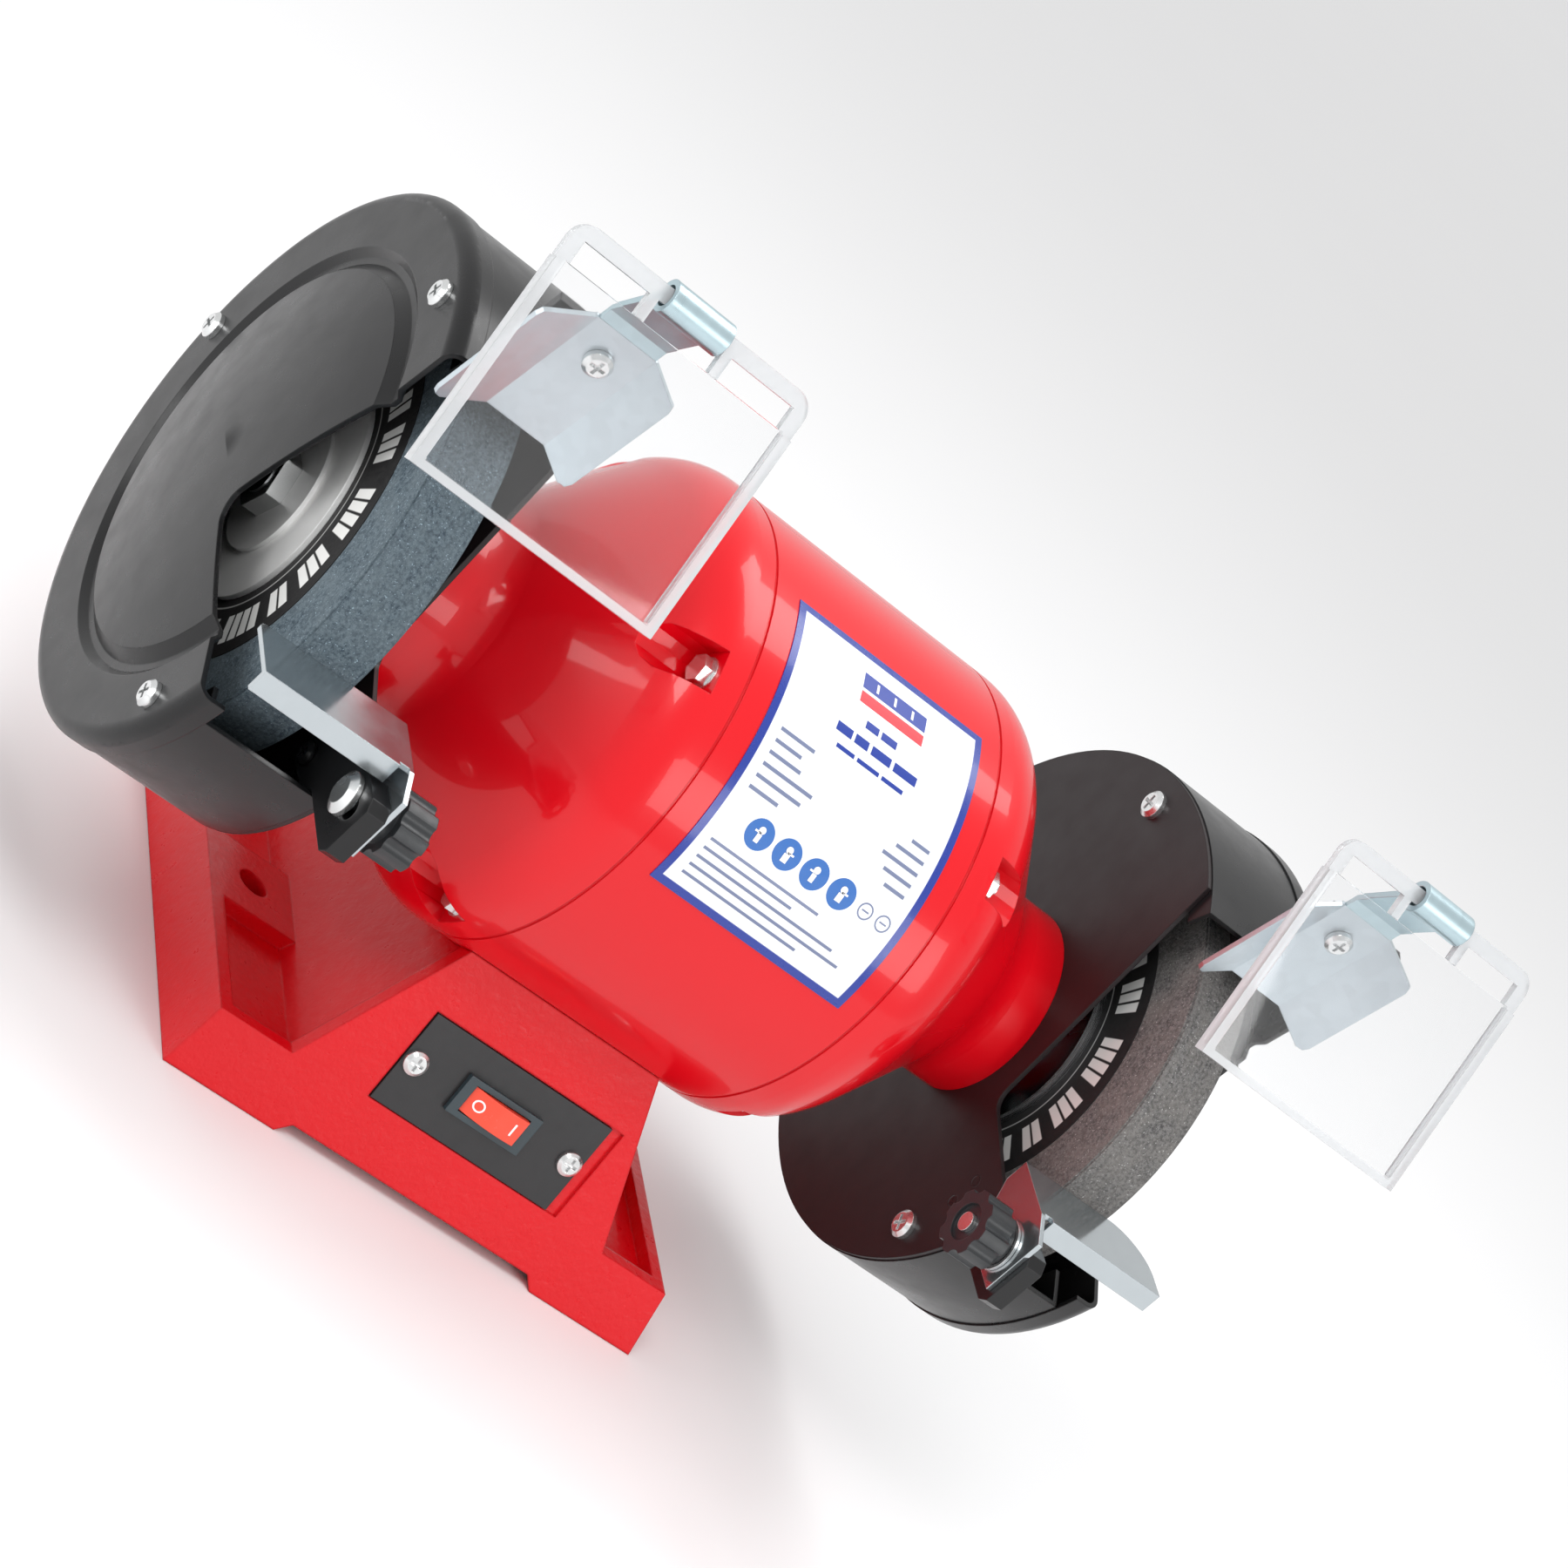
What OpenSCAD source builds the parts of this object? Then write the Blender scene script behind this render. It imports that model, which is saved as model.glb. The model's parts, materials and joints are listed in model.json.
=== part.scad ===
// Bench grinder with two wheels, guards, tool rests, spark arresters and eye shields.
// X runs along the shaft, -Y is the operator's side and Z is up from the bench.
// The origin is on the bench, midway between the two bench bolt holes.

/* [Base] */
// Width of the base at the bench
base_w = 182; // [176:1:190]
// Depth of the base at the bench
base_d = 158; // [150:1:166]
// Height of the rims round the feet
rim_h = 21; // [19:0.5:23]
// Height of the foot decks between the rims
deck_h = 16; // [14:0.5:17]
// Lean of the front and rear faces from upright, in degrees
face_lean = 15; // [12:0.5:17]
// Wall of the base casting
base_wall = 5; // [4:0.5:6]
// Distance between the bench bolt holes
bolt_span = 140; // [136:1:144]
// Diameter of the bench bolt holes
bolt_hole_d = 10.5; // [9:0.5:12]

/* [Motor] */
// Height of the shaft over the bench
shaft_z = 135.5; // [134:0.5:138]
// Distance of the shaft in front of the bench bolts
shaft_back = 16; // [14:0.5:18]
// Radius of the motor housing
motor_r = 76.7; // [75:0.1:78]
// Half the length of the middle housing, to the end bell seams
seam_x = 46; // [44:0.5:48]
// Radius of the neck that carries each guard
neck_r = 31.7; // [30:0.1:33]
// Distance of the neck ends from the middle
neck_end = 123.5; // [122:0.5:125]
// Radius of the rounded shoulder of the end bells
shoulder_r = 24; // [22:0.5:25]
// Slope of the conical face of the end bells, in degrees
cone_slope = 47; // [45:0.5:49]

/* [Wheels] */
// Radius of the grinding wheels
wheel_r = 75; // [70:0.5:75]
// Thickness of the grinding wheels
wheel_t = 20; // [18:0.5:20]
// Distance of the inner wheel faces from the middle
wheel_in = 139.3; // [139:0.1:140]
// Radius of the wheel flanges
flange_r = 36; // [30:0.5:38]
// Outer radius of the paper labels on the wheels
label_r = 55.5; // [48:0.5:58]

/* [Guards] */
// Outer radius of the guard shrouds
guard_r = 88.9; // [88:0.1:90]
// Sheet thickness of the guards
sheet = 1.6; // [1.4:0.1:1.8]
// Distance of the guard cover rims from the middle
cover_x = 166; // [165:0.5:167]
// Lower edge of the guard opening, in degrees below the front
open_low = 21.5; // [18:0.5:24]
// Upper edge of the guard opening, in degrees above the front
open_high = 64; // [60:0.5:68]

/* [Tool rests] */
// Depth of the tool rest tables
table_d = 22; // [20:0.5:23]
// Height of the table tops below the shaft
table_drop = 2; // [1:0.5:3]
// Gap between the tables and the wheels
rest_gap = 2; // [1.8:0.1:3]
// Diameter of the clamping knobs
knob_d = 21; // [19:0.5:23]

/* [Eye shields] */
// Width of the eye shields
shield_w = 83; // [80:1:86]
// Height of the eye shields
shield_l = 74; // [70:1:76]
// Lean of the eye shields from level, in degrees
shield_tilt = 66; // [62:1:70]
// Width of the spark arresters' middle plates
arrester_w = 22; // [20:1:24]
// Height of the spark arresters
arrester_l = 42; // [40:1:44]

/* [Hidden] */
$fn = 96;
eps = 0.05;

casting_red = [0.84, 0.02, 0.06];
gloss_red = [0.88, 0.02, 0.08];
guard_black = [0.16, 0.16, 0.17];
zinc = [0.78, 0.82, 0.85];
moulding_black = [0.11, 0.11, 0.12];

shaft_y = -shaft_back;
half_w = base_w / 2;
half_d = base_d / 2;
lean_k = tan(face_lean);
side_draft = 0.18;
notch_x = 50;
notch_h = 4;
panel_top = 84;
panel_knee_x = 61;
panel_k = 0.462;
web_x = 57;
web_k = 0.433;
deck_t = 5;
pad_half = 16.5;
rim_t = 4.7;
boss_r = 10;
housing_wall = 3;
seam_v = 0.5;

// The shoulder arc ends where it meets the cone, and the cone ends in a fillet on the neck.
arc_x0 = 52;
cone_x0 = arc_x0 + shoulder_r * sin(cone_slope);
cone_r0 = motor_r - shoulder_r * (1 - cos(cone_slope));
fillet_r = 16;
cone_r1 = neck_r + fillet_r * (1 - cos(cone_slope));
cone_x1 = cone_x0 + (cone_r0 - cone_r1) / tan(cone_slope);
fillet_x = cone_x1 + fillet_r * sin(cone_slope);
bell_wall = 4;
tie_r = 69.5;
tie_rod_r = 2.4;
tie_seat_x = 55;
bearing_r = 17.5;
bearing_w = 11;
bearing_x = 105;
journal_r = 7.5;
spindle_r = 6.35;

label_angle = 70.8;
label_angle0 = 2.2;
label_x0 = -36.7;
label_w = 74.3;
label_t = 0.3;

wheel_out = wheel_in + wheel_t;
paper_t = 0.3;
flange_t = 6;
outer_flange_t = 3;
nut_t = 5.8;
nut_flats = 19;

shroud_x0 = neck_end + sheet;
lip_r = 80;
dome_r = 61;
dome_h = 5.5;
crown_x = cover_x + 9;
screw_ring_r = 79.5;
cover_screw_angles = [78, -32, 184];
plate_screw_ring_r = 78;
plate_screw_angles = [103, -39, 212];
mount_screw_r = 26;

rest_x0 = 121.8;
rest_x1 = 173;
rest_y0 = -(wheel_r + rest_gap);
rest_y1 = rest_y0 - table_d;
rest_t = 1.6;
clamp_y = -98.5;
clamp_z = -18.5;
slot_in = 1.5;
slot_out = 6;
bracket_t = 3;
knob_l = 13;

side_mid = wheel_in + wheel_t / 2;
arrester_lean = 14.5;
arrester_y = -47;
arrester_z = 73.5;
arrester_t = 1.5;
arrester_slot = 2;
arrester_screw_y = 31;
pivot_y = -77.5;
pivot_z = 135.5;
bar_w = 4.6;
shield_t = 2.4;
shield_rim = 3;
clip_w = 20;

switch_u = 1.5;
switch_v = 39.1;
switch_w = 69;
switch_h = 31;
switch_plate_t = 1.6;
switch_recess = 1.2;
rocker_tilt = 8;

// ---- placing helpers ----

// Local x, y and z become Y, Z and X, measured from the shaft.
module on_shaft() translate([0, shaft_y, shaft_z]) rotate([90, 0, 90]) children();
module on_side(side) mirror([side < 0 ? 1 : 0, 0, 0]) children();
module turned(angle) rotate([0, 0, 180 - angle]) children();
module along_x(length) rotate([90, 0, 90]) linear_extrude(length, center = true) children();
module along_y(length) rotate([90, 0, 0]) linear_extrude(length, center = true) children();
// Local x, y and z run across, up and out of the leaning front face.
module on_panel() translate([0, -half_d, 0]) rotate([90 - face_lean, 0, 0]) children();
module ring(r_out, r_in, h) difference() {
    cylinder(h = h, r = r_out);
    translate([0, 0, -1]) cylinder(h = h + 2, r = r_in);
}
// A pan head with a cross recess, standing up from z = 0, on a shank that goes down.
module cross_screw(head_r, head_h, shank_r, shank_l) {
    difference() {
        union() {
            cylinder(h = head_h * 0.6, r = head_r, $fn = 48);
            translate([0, 0, head_h * 0.6]) cylinder(h = head_h * 0.4, r1 = head_r, r2 = head_r * 0.72, $fn = 48);
        }
        for (turn = [0, 90]) rotate([0, 0, turn])
            translate([-head_r * 0.55, -head_r * 0.12, head_h * 0.45]) cube([head_r * 1.1, head_r * 0.24, head_h]);
    }
    translate([0, 0, -shank_l]) cylinder(h = shank_l + eps, r = shank_r, $fn = 32);
}
module hex_head(flats, h) cylinder(h = h, r = flats / 2 / cos(30), $fn = 6);
// A wedge cut: two straight edges that meet in a rounded corner, seen along the shaft.
module wedge_cut(corner, low, high, round_r) {
    spread = (high + low) / 2;
    mid = 180 - (high - low) / 2;
    reach = 140;
    function ray(angle, length) = corner + length * [cos(angle), sin(angle)];
    centre = ray(mid, round_r / sin(spread));
    polygon(concat(
        [ray(180 - high, reach)],
        [for (step = [1 : -0.25 : -1]) let (turn = mid + 180 + step * (90 - spread))
            centre + round_r * [cos(turn), sin(turn)]],
        [ray(180 + low, reach), ray(mid, reach * 1.6)]));
}

// ---- base ----

function panel_x(z) = panel_knee_x - panel_k * (z - rim_h);
function web_at(z) = web_x - web_k * (z - deck_h);
function half_depth(z) = half_d - lean_k * z;

module side_view(inset, low) polygon([
    [-half_depth(low) + inset, low], [half_depth(low) - inset, low],
    [half_depth(panel_top) - inset, panel_top], [-half_depth(panel_top) + inset, panel_top]]);
module front_view() polygon([
    [-half_w, 0], [-half_w + side_draft * rim_h, rim_h], [-panel_x(rim_h), rim_h],
    [-panel_x(panel_top), panel_top], [panel_x(panel_top), panel_top], [panel_x(rim_h), rim_h],
    [half_w - side_draft * rim_h, rim_h], [half_w, 0],
    [notch_x, 0], [notch_x - notch_h, notch_h], [-notch_x + notch_h, notch_h], [-notch_x, 0]]);
module web_view(inset, low) polygon([
    [-web_at(low) + inset, low], [web_at(low) - inset, low],
    [web_at(panel_top) - inset, panel_top], [-web_at(panel_top) + inset, panel_top]]);
module foot_view() polygon([
    [half_w, 0], [half_w - side_draft * rim_h, rim_h], [half_w - side_draft * rim_h - rim_t, rim_h],
    [half_w - side_draft * deck_h - rim_t, deck_h], [web_x - 1, deck_h], [web_x - 1, 0]]);
module foot_hollow_view() polygon([
    [half_w - base_wall, -1], [half_w - base_wall - 2, deck_h - deck_t],
    [web_x - base_wall - 4, deck_h - deck_t], [web_x - base_wall - 4, -1]]);

module base_shape() {
    // Front and rear faces, with their raised middle edge
    intersection() {
        along_y(base_d + 10) front_view();
        difference() {
            along_x(base_w + 10) side_view(0, 0);
            along_x(base_w + 20) side_view(base_wall, -2);
        }
    }
    // Pedestal between the faces
    intersection() {
        along_y(base_d) web_view(0, notch_h);
        along_x(base_w) side_view(1, 0);
    }
    // Feet with their rims and bolt pads
    for (side = [-1, 1]) on_side(side) {
        intersection() {
            along_y(base_d) foot_view();
            along_x(base_w + 10) side_view(0.5, 0);
        }
        translate([web_at(rim_h) - 2, -pad_half, deck_h - 1])
            cube([half_w - side_draft * rim_h - rim_t - web_at(rim_h) + 3, 2 * pad_half, rim_h - deck_h + 1]);
    }
}
module base_hollow() {
    difference() {
        intersection() {
            along_y(base_d) web_view(base_wall, -1);
            along_x(base_w) side_view(base_wall + 1, -1);
        }
        on_shaft() cylinder(h = base_w, r = motor_r + base_wall, center = true);
    }
    for (side = [-1, 1]) on_side(side) intersection() {
        along_y(base_d) foot_hollow_view();
        along_x(base_w + 10) side_view(base_wall + 1, -1);
    }
}
module base_casting() color(casting_red) difference() {
    union() {
        difference() {
            base_shape();
            base_hollow();
        }
        for (side = [-1, 1]) translate([side * bolt_span / 2, 0, 0]) cylinder(h = rim_h, r = boss_r);
        // Corner bosses that the base plate is screwed to
        for (sx = [-1, 1], sy = [-1, 1]) translate([sx * plate_screw_x, sy * plate_screw_y, plate_z + plate_t])
            cylinder(h = 10, r = 5, $fn = 48);
    }
    on_shaft() cylinder(h = base_w, r = motor_r + 0.1, center = true);
    for (side = [-1, 1]) translate([side * bolt_span / 2, 0, -1]) cylinder(h = rim_h + 2, r = bolt_hole_d / 2);
    for (x = saddle_xs) on_shaft() translate([0, 0, x]) rotate([90, 0, 0]) cylinder(h = motor_r + 12, r = 3.1);
    for (sx = [-1, 1], sy = [-1, 1]) translate([sx * plate_screw_x, sy * plate_screw_y, plate_z])
        cylinder(h = 9, r = 1.8, $fn = 32);
    on_panel() {
        translate([-33.5, switch_v - switch_h / 2 - 0.4, -switch_recess]) cube([74, switch_h + 0.8, 10]);
        translate([switch_u - 13.5, switch_v - 6, -20]) cube([27, 12, 30]);
        for (dx = [-30.3, 30.3]) translate([switch_u + dx, switch_v, -12]) cylinder(h = 20, r = 1.6, $fn = 32);
    }
    translate([gland_x, half_d, gland_z]) rotate([90, 0, 0]) cylinder(h = 40, r = gland_r, center = true);
}
plate_t = 1.5;
plate_z = 4.5;
plate_screw_x = 52.5;
plate_screw_y = 60;
saddle_xs = [-24, 24];
gland_x = 30;
gland_z = 32;
gland_r = 8;

module base_plate() color("gray") difference() {
    translate([-(web_at(0) - base_wall - 3.5), -(half_d - base_wall - 4), plate_z])
        cube([2 * (web_at(0) - base_wall - 3.5), 2 * (half_d - base_wall - 4), plate_t]);
    for (sx = [-1, 1], sy = [-1, 1]) translate([sx * plate_screw_x, sy * plate_screw_y, 0])
        cylinder(h = 10, r = 2.1, $fn = 32);
}
module base_plate_screws() color(zinc)
    for (sx = [-1, 1], sy = [-1, 1]) translate([sx * plate_screw_x, sy * plate_screw_y, plate_z])
        rotate([180, 0, 0]) cross_screw(3.5, 2, 1.7, 8);
module saddle_bolts() color(zinc) for (x = saddle_xs) on_shaft() translate([0, 0, x]) rotate([90, 0, 0]) {
    translate([0, 0, motor_r - housing_wall + 0.3]) cylinder(h = base_wall + housing_wall + 1, r = 3);
    translate([0, 0, motor_r + base_wall + 0.1]) hex_head(10, 4);
}
module cable_gland() color(moulding_black) {
    depth = half_depth(gland_z);
    translate([gland_x, depth, gland_z]) rotate([-90, 0, 0]) difference() {
        union() {
            translate([0, 0, -14]) cylinder(h = 18, r = gland_r - 0.1);
            translate([0, 0, 3]) cylinder(h = 3, r = 11, $fn = 6);
            translate([0, 0, 6]) cylinder(h = 9, r1 = 9.5, r2 = 8);
            translate([0, 0, -12]) cylinder(h = 3.2, r = 10.4, $fn = 6);
        }
        translate([0, 0, -15]) cylinder(h = 40, r = 4);
    }
}

// ---- motor ----

module motor_housing() color(gloss_red) difference() {
    on_shaft() difference() {
        union() {
            cylinder(h = 2 * (seam_x - seam_v), r = motor_r, center = true);
            cylinder(h = 2 * seam_x, r = motor_r - seam_v, center = true);
        }
        cylinder(h = 2 * seam_x + 2, r = motor_r - housing_wall, center = true);
    }
    for (x = saddle_xs) on_shaft() translate([0, 0, x]) rotate([90, 0, 0]) cylinder(h = motor_r + 2, r = 3);
}
// Half section of an end bell's outside: radius across, distance along the shaft up.
module bell_outside() {
    difference() {
        union() {
            translate([0, seam_x]) square([motor_r - seam_v, 2]);
            translate([0, seam_x + seam_v]) square([motor_r, arc_x0 - seam_x - seam_v]);
            intersection() {
                translate([motor_r - shoulder_r, arc_x0]) circle(r = shoulder_r);
                translate([0, arc_x0 - eps]) square([motor_r, shoulder_r]);
            }
            polygon([[0, arc_x0], [motor_r - shoulder_r, arc_x0], [cone_r0, cone_x0], [cone_r1, cone_x1],
                [neck_r, fillet_x], [neck_r, neck_end], [0, neck_end]]);
        }
        translate([neck_r + fillet_r, fillet_x]) circle(r = fillet_r);
    }
}
module bell_inside() {
    polygon([[0, seam_x - 1], [motor_r - bell_wall, seam_x - 1], [motor_r - bell_wall, arc_x0],
        [cone_r0 - bell_wall, cone_x0 - 3], [cone_r1 - 3, cone_x1 - 8], [22, bearing_x - 4],
        [journal_r + 3, bearing_x - 4], [journal_r + 3, bearing_x], [bearing_r, bearing_x],
        [bearing_r, bearing_x + bearing_w], [journal_r + 1.5, bearing_x + bearing_w],
        [journal_r + 1.5, neck_end + 1], [0, neck_end + 1]]);
}
module end_bell() difference() {
    union() {
        on_shaft() rotate_extrude() difference() {
            bell_outside();
            bell_inside();
        }
        // Solid metal round each pocket, so that the heads of the tie bolts have a seat
        intersection() {
            on_shaft() for (turn = [45, 135, 225, 315]) rotate([0, 0, turn])
                translate([tie_r - 11, -10, seam_x + 1]) cube([20, 20, 24]);
            on_shaft() rotate_extrude() bell_core();
        }
    }
    for (turn = [45, 135, 225, 315]) on_shaft() rotate([0, 0, turn]) {
        translate([tie_r, 0, tie_seat_x]) rotate([0, 0, 15]) cylinder(h = 40, r = 7.2, $fn = 12);
        translate([tie_r, -6.8, tie_seat_x]) cube([20, 13.6, 40]);
        translate([tie_r, 0, seam_x - 1]) cylinder(h = 20, r = tie_rod_r + 0.2, $fn = 32);
    }
    for (turn = [90, 210, 330]) on_shaft() rotate([0, 0, turn]) translate([mount_screw_r, 0, neck_end - 12])
        cylinder(h = 20, r = 1.9, $fn = 32);
}
// A plainer solid inside the bell's outer face, which bounds the metal round the pockets
module bell_core() polygon([[0, seam_x + 0.5], [motor_r - 1.5, seam_x + 0.5], [motor_r - 1.5, arc_x0],
    [cone_r0 - 1.5, cone_x0 - 0.6], [cone_r1 - 1.5, cone_x1 - 1], [0, cone_x1 - 1]]);
module left_end_bell() color(gloss_red) on_side(-1) end_bell();
module right_end_bell() color(gloss_red) end_bell();
module tie_bolts() color(zinc) for (turn = [45, 135, 225, 315]) on_shaft() rotate([0, 0, turn])
    translate([tie_r, 0, 0]) {
        translate([0, 0, -tie_seat_x]) cylinder(h = 2 * tie_seat_x + 6, r = tie_rod_r, $fn = 32);
        translate([0, 0, -tie_seat_x - 4]) hex_head(8, 4);
        translate([0, 0, -tie_seat_x - 0.6]) cylinder(h = 0.6, r = 5.2, $fn = 48);
    }
module tie_nuts() color(zinc) for (turn = [45, 135, 225, 315]) on_shaft() rotate([0, 0, turn])
    translate([tie_r, 0, tie_seat_x]) difference() {
        union() {
            cylinder(h = 0.8, r = 5.2, $fn = 48);
            translate([0, 0, 0.8]) hex_head(8, 3.6);
        }
        translate([0, 0, -1]) cylinder(h = 10, r = tie_rod_r, $fn = 32);
    }
module stator_core() color("dimgray") difference() {
    on_shaft() difference() {
        cylinder(h = 56, r = motor_r - housing_wall - 0.1, center = true);
        cylinder(h = 60, r = 39.5, center = true);
        for (turn = [0 : 15 : 345]) rotate([0, 0, turn]) translate([48, 0, 0])
            cube([16, 5, 60], center = true);
        for (turn = [45, 135, 225, 315]) rotate([0, 0, turn]) translate([tie_r, 0, 0])
            cylinder(h = 60, r = 4.5, center = true, $fn = 48);
    }
}
module stator_windings() color("sienna") for (side = [-1, 1]) on_side(side) on_shaft() translate([0, 0, 28])
    rotate_extrude() translate([52, 8]) circle(r = 7.9, $fn = 48);
module bearings() color("lightsteelblue") for (side = [-1, 1]) on_side(side) on_shaft()
    translate([0, 0, bearing_x]) difference() {
        ring(bearing_r, journal_r + 0.05, bearing_w);
        translate([0, 0, bearing_w - 0.8]) ring(bearing_r - 3, journal_r + 3, 2);
        translate([0, 0, -1.2]) ring(bearing_r - 3, journal_r + 3, 2);
    }
module capacitor() color("silver") translate([-24, 30, 24]) rotate([0, 90, 0]) {
    cylinder(h = 48, r = 12);
    for (y = [-4, 4]) translate([0, y, 48]) cylinder(h = 5, r = 1.2, $fn = 24);
}
module capacitor_clip() color(zinc) translate([-4, 30, 0]) {
    difference() {
        translate([0, 0, 24]) rotate([0, 90, 0]) cylinder(h = 12, r = 13.2);
        translate([-1, 0, 24]) rotate([0, 90, 0]) cylinder(h = 14, r = 12.05);
        translate([-1, -20, 24]) cube([14, 40, 20]);
    }
    difference() {
        translate([0, -4, plate_z + plate_t]) cube([12, 8, 24 - 12.6 - plate_z - plate_t]);
        translate([-1, 0, 24]) rotate([0, 90, 0]) cylinder(h = 14, r = 12.6);
    }
}
module terminal_block() color("beige") translate([-30, -16, plate_z + plate_t]) difference() {
    cube([44, 16, 14]);
    for (n = [0 : 3]) translate([6.5 + n * 10.3, 8, 4]) cylinder(h = 20, r = 2.2, $fn = 32);
}
module rating_label() color("white") on_shaft() translate([0, 0, label_x0])
    rotate([0, 0, 180 - label_angle0 - label_angle]) rotate_extrude(angle = label_angle)
    translate([motor_r, 0]) square([label_t, label_w]);

// ---- switch ----

module switch_plate() color(moulding_black) on_panel() difference() {
    translate([switch_u - switch_w / 2, switch_v - switch_h / 2, -switch_recess])
        cube([switch_w, switch_h, switch_plate_t]);
    translate([switch_u - 12.6, switch_v - 5.4, -3]) cube([25.2, 10.8, 8]);
    for (dx = [-30.3, 30.3]) translate([switch_u + dx, switch_v, -5]) cylinder(h = 10, r = 1.7, $fn = 32);
}
module switch_body() color([0.15, 0.19, 0.21]) on_panel() translate([switch_u, switch_v, 0]) difference() {
    union() {
        translate([-14, -6.5, switch_plate_t - switch_recess]) cube([28, 13, 1.8]);
        translate([-12.3, -5.1, -16]) cube([24.6, 10.2, 18]);
        for (dx = [-8, 0, 8]) translate([dx - 0.4, -2.4, -22]) cube([0.8, 4.8, 7]);
    }
    translate([-10.6, -4.6, -7]) cube([21.2, 9.2, 20]);
    rotate([90, 0, 0]) cylinder(h = 10.4, r = 1.25, center = true, $fn = 32);
}
module switch_screws() color(zinc) on_panel() for (dx = [-30.3, 30.3])
    translate([switch_u + dx, switch_v, switch_plate_t - switch_recess]) cross_screw(3.9, 2, 1.5, 9);
// The rocker turns about a line up the panel, and rests with its left end down.
module rocker() color([0.95, 0.22, 0.12]) on_panel() translate([switch_u, switch_v, 0])
    rotate([0, -rocker_tilt, 0]) {
        rotate([90, 0, 0]) cylinder(h = 9.9, r = 1.2, center = true, $fn = 32);
        intersection() {
            translate([-10.2, -4.3, -5]) cube([20.4, 8.6, 10]);
            translate([0, 0, -24]) rotate([90, 0, 0]) cylinder(h = 12, r = 28.4, center = true, $fn = 160);
            translate([0, 0, 6]) rotate([90, 0, 0]) cylinder(h = 12, r = 11.6, center = true);
        }
    }

// ---- guards ----

module guard_plate() difference() {
    on_shaft() translate([0, 0, neck_end]) linear_extrude(sheet) difference() {
        circle(r = guard_r - 0.4);
        circle(r = 20);
        wedge_cut([-42, -7], 10, 97, 6);
        for (turn = plate_screw_angles) turned(turn) translate([plate_screw_ring_r, 0]) circle(r = 2.1, $fn = 32);
        for (turn = [90, 210, 330]) rotate([0, 0, turn]) translate([mount_screw_r, 0]) circle(r = 2.2, $fn = 32);
        for (p = bracket_screw_at) translate(p) circle(r = 1.9, $fn = 32);
    }
}
module shroud() on_shaft() {
    rotate([0, 0, 180 + open_low]) rotate_extrude(angle = 360 - open_low - open_high) {
        translate([guard_r - sheet, shroud_x0]) square([sheet, cover_x - shroud_x0]);
        translate([lip_r, shroud_x0]) square([guard_r - lip_r, sheet]);
        translate([lip_r - 4, cover_x - sheet]) square([guard_r - lip_r + 4, sheet]);
    }
    // Tabs that take the screws of the inner plate
    for (turn = plate_screw_angles) turned(turn) translate([lip_r - 8, -7, shroud_x0]) cube([10, 14, sheet]);
}
module guard_shroud() difference() {
    shroud();
    on_shaft() {
        for (turn = plate_screw_angles) turned(turn) translate([plate_screw_ring_r, 0, shroud_x0 - 1])
            cylinder(h = 4, r = 1.7, $fn = 32);
        for (turn = cover_screw_angles) turned(turn) translate([screw_ring_r, 0, cover_x - 4])
            cylinder(h = 8, r = 1.7, $fn = 32);
    }
}
// Half section of a guard cover: the outer face, or the inner face one sheet lower.
module cover_section(drop) {
    dome_sphere = (dome_r * dome_r + dome_h * dome_h) / (2 * dome_h);
    rim_r = 4.6;
    difference() {
        union() {
            translate([0, cover_x - 3]) square([guard_r + 0.5 - drop, crown_x - rim_r - cover_x + 3]);
            translate([guard_r + 0.5 - rim_r, crown_x - rim_r]) circle(r = rim_r - drop);
            polygon([[0, cover_x], [guard_r + 0.5 - rim_r, cover_x], [guard_r + 0.5 - rim_r, crown_x - drop],
                [69.5, crown_x - drop], [67.2, crown_x - 2 - drop], [65, crown_x - 2 - drop],
                [dome_r + 0.6, crown_x + 0.8 - drop], [0, crown_x + 0.8 - drop]]);
            intersection() {
                translate([0, crown_x + 1 + dome_h - dome_sphere]) circle(r = dome_sphere - drop, $fn = 360);
                translate([0, crown_x - 1]) square([dome_r + 0.5, 20]);
            }
        }
        translate([0, cover_x - 20]) square([200, 20]);
    }
}
module guard_cover() difference() {
    on_shaft() rotate_extrude() difference() {
        cover_section(0);
        translate([0, -eps]) cover_section(1.5);
        translate([0, cover_x - 4]) square([guard_r - 1.5, 4]);
    }
    on_shaft() translate([0, 0, cover_x - 10]) linear_extrude(30) wedge_cut([-23, -4.5], 18, 75.5, 8);
    for (turn = cover_screw_angles) on_shaft() turned(turn) translate([screw_ring_r, 0, cover_x - 4])
        cylinder(h = 20, r = 1.9, $fn = 32);
}
module left_guard_plate() color(guard_black) on_side(-1) guard_plate();
module right_guard_plate() color(guard_black) guard_plate();
module left_guard_shroud() color(guard_black) on_side(-1) guard_shroud();
module right_guard_shroud() color(guard_black) guard_shroud();
module left_guard_cover() color(guard_black) on_side(-1) guard_cover();
module right_guard_cover() color(guard_black) guard_cover();
module guard_mount_screws() color(zinc) for (side = [-1, 1], turn = [90, 210, 330]) on_side(side) on_shaft()
    rotate([0, 0, turn]) translate([mount_screw_r, 0, neck_end + sheet]) cross_screw(4, 2.4, 1.85, 10);
module plate_screws() color(zinc) for (side = [-1, 1], turn = plate_screw_angles) on_side(side) on_shaft()
    turned(turn) translate([plate_screw_ring_r, 0, neck_end]) rotate([180, 0, 0]) cross_screw(4.6, 2.8, 1.65, 5);
module cover_screws() color(zinc) for (side = [-1, 1], turn = cover_screw_angles) on_side(side) on_shaft()
    turned(turn) translate([screw_ring_r, 0, crown_x + 0.02]) cross_screw(4.2, 2.8, 1.65, 11);

// ---- tool rests ----

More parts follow.
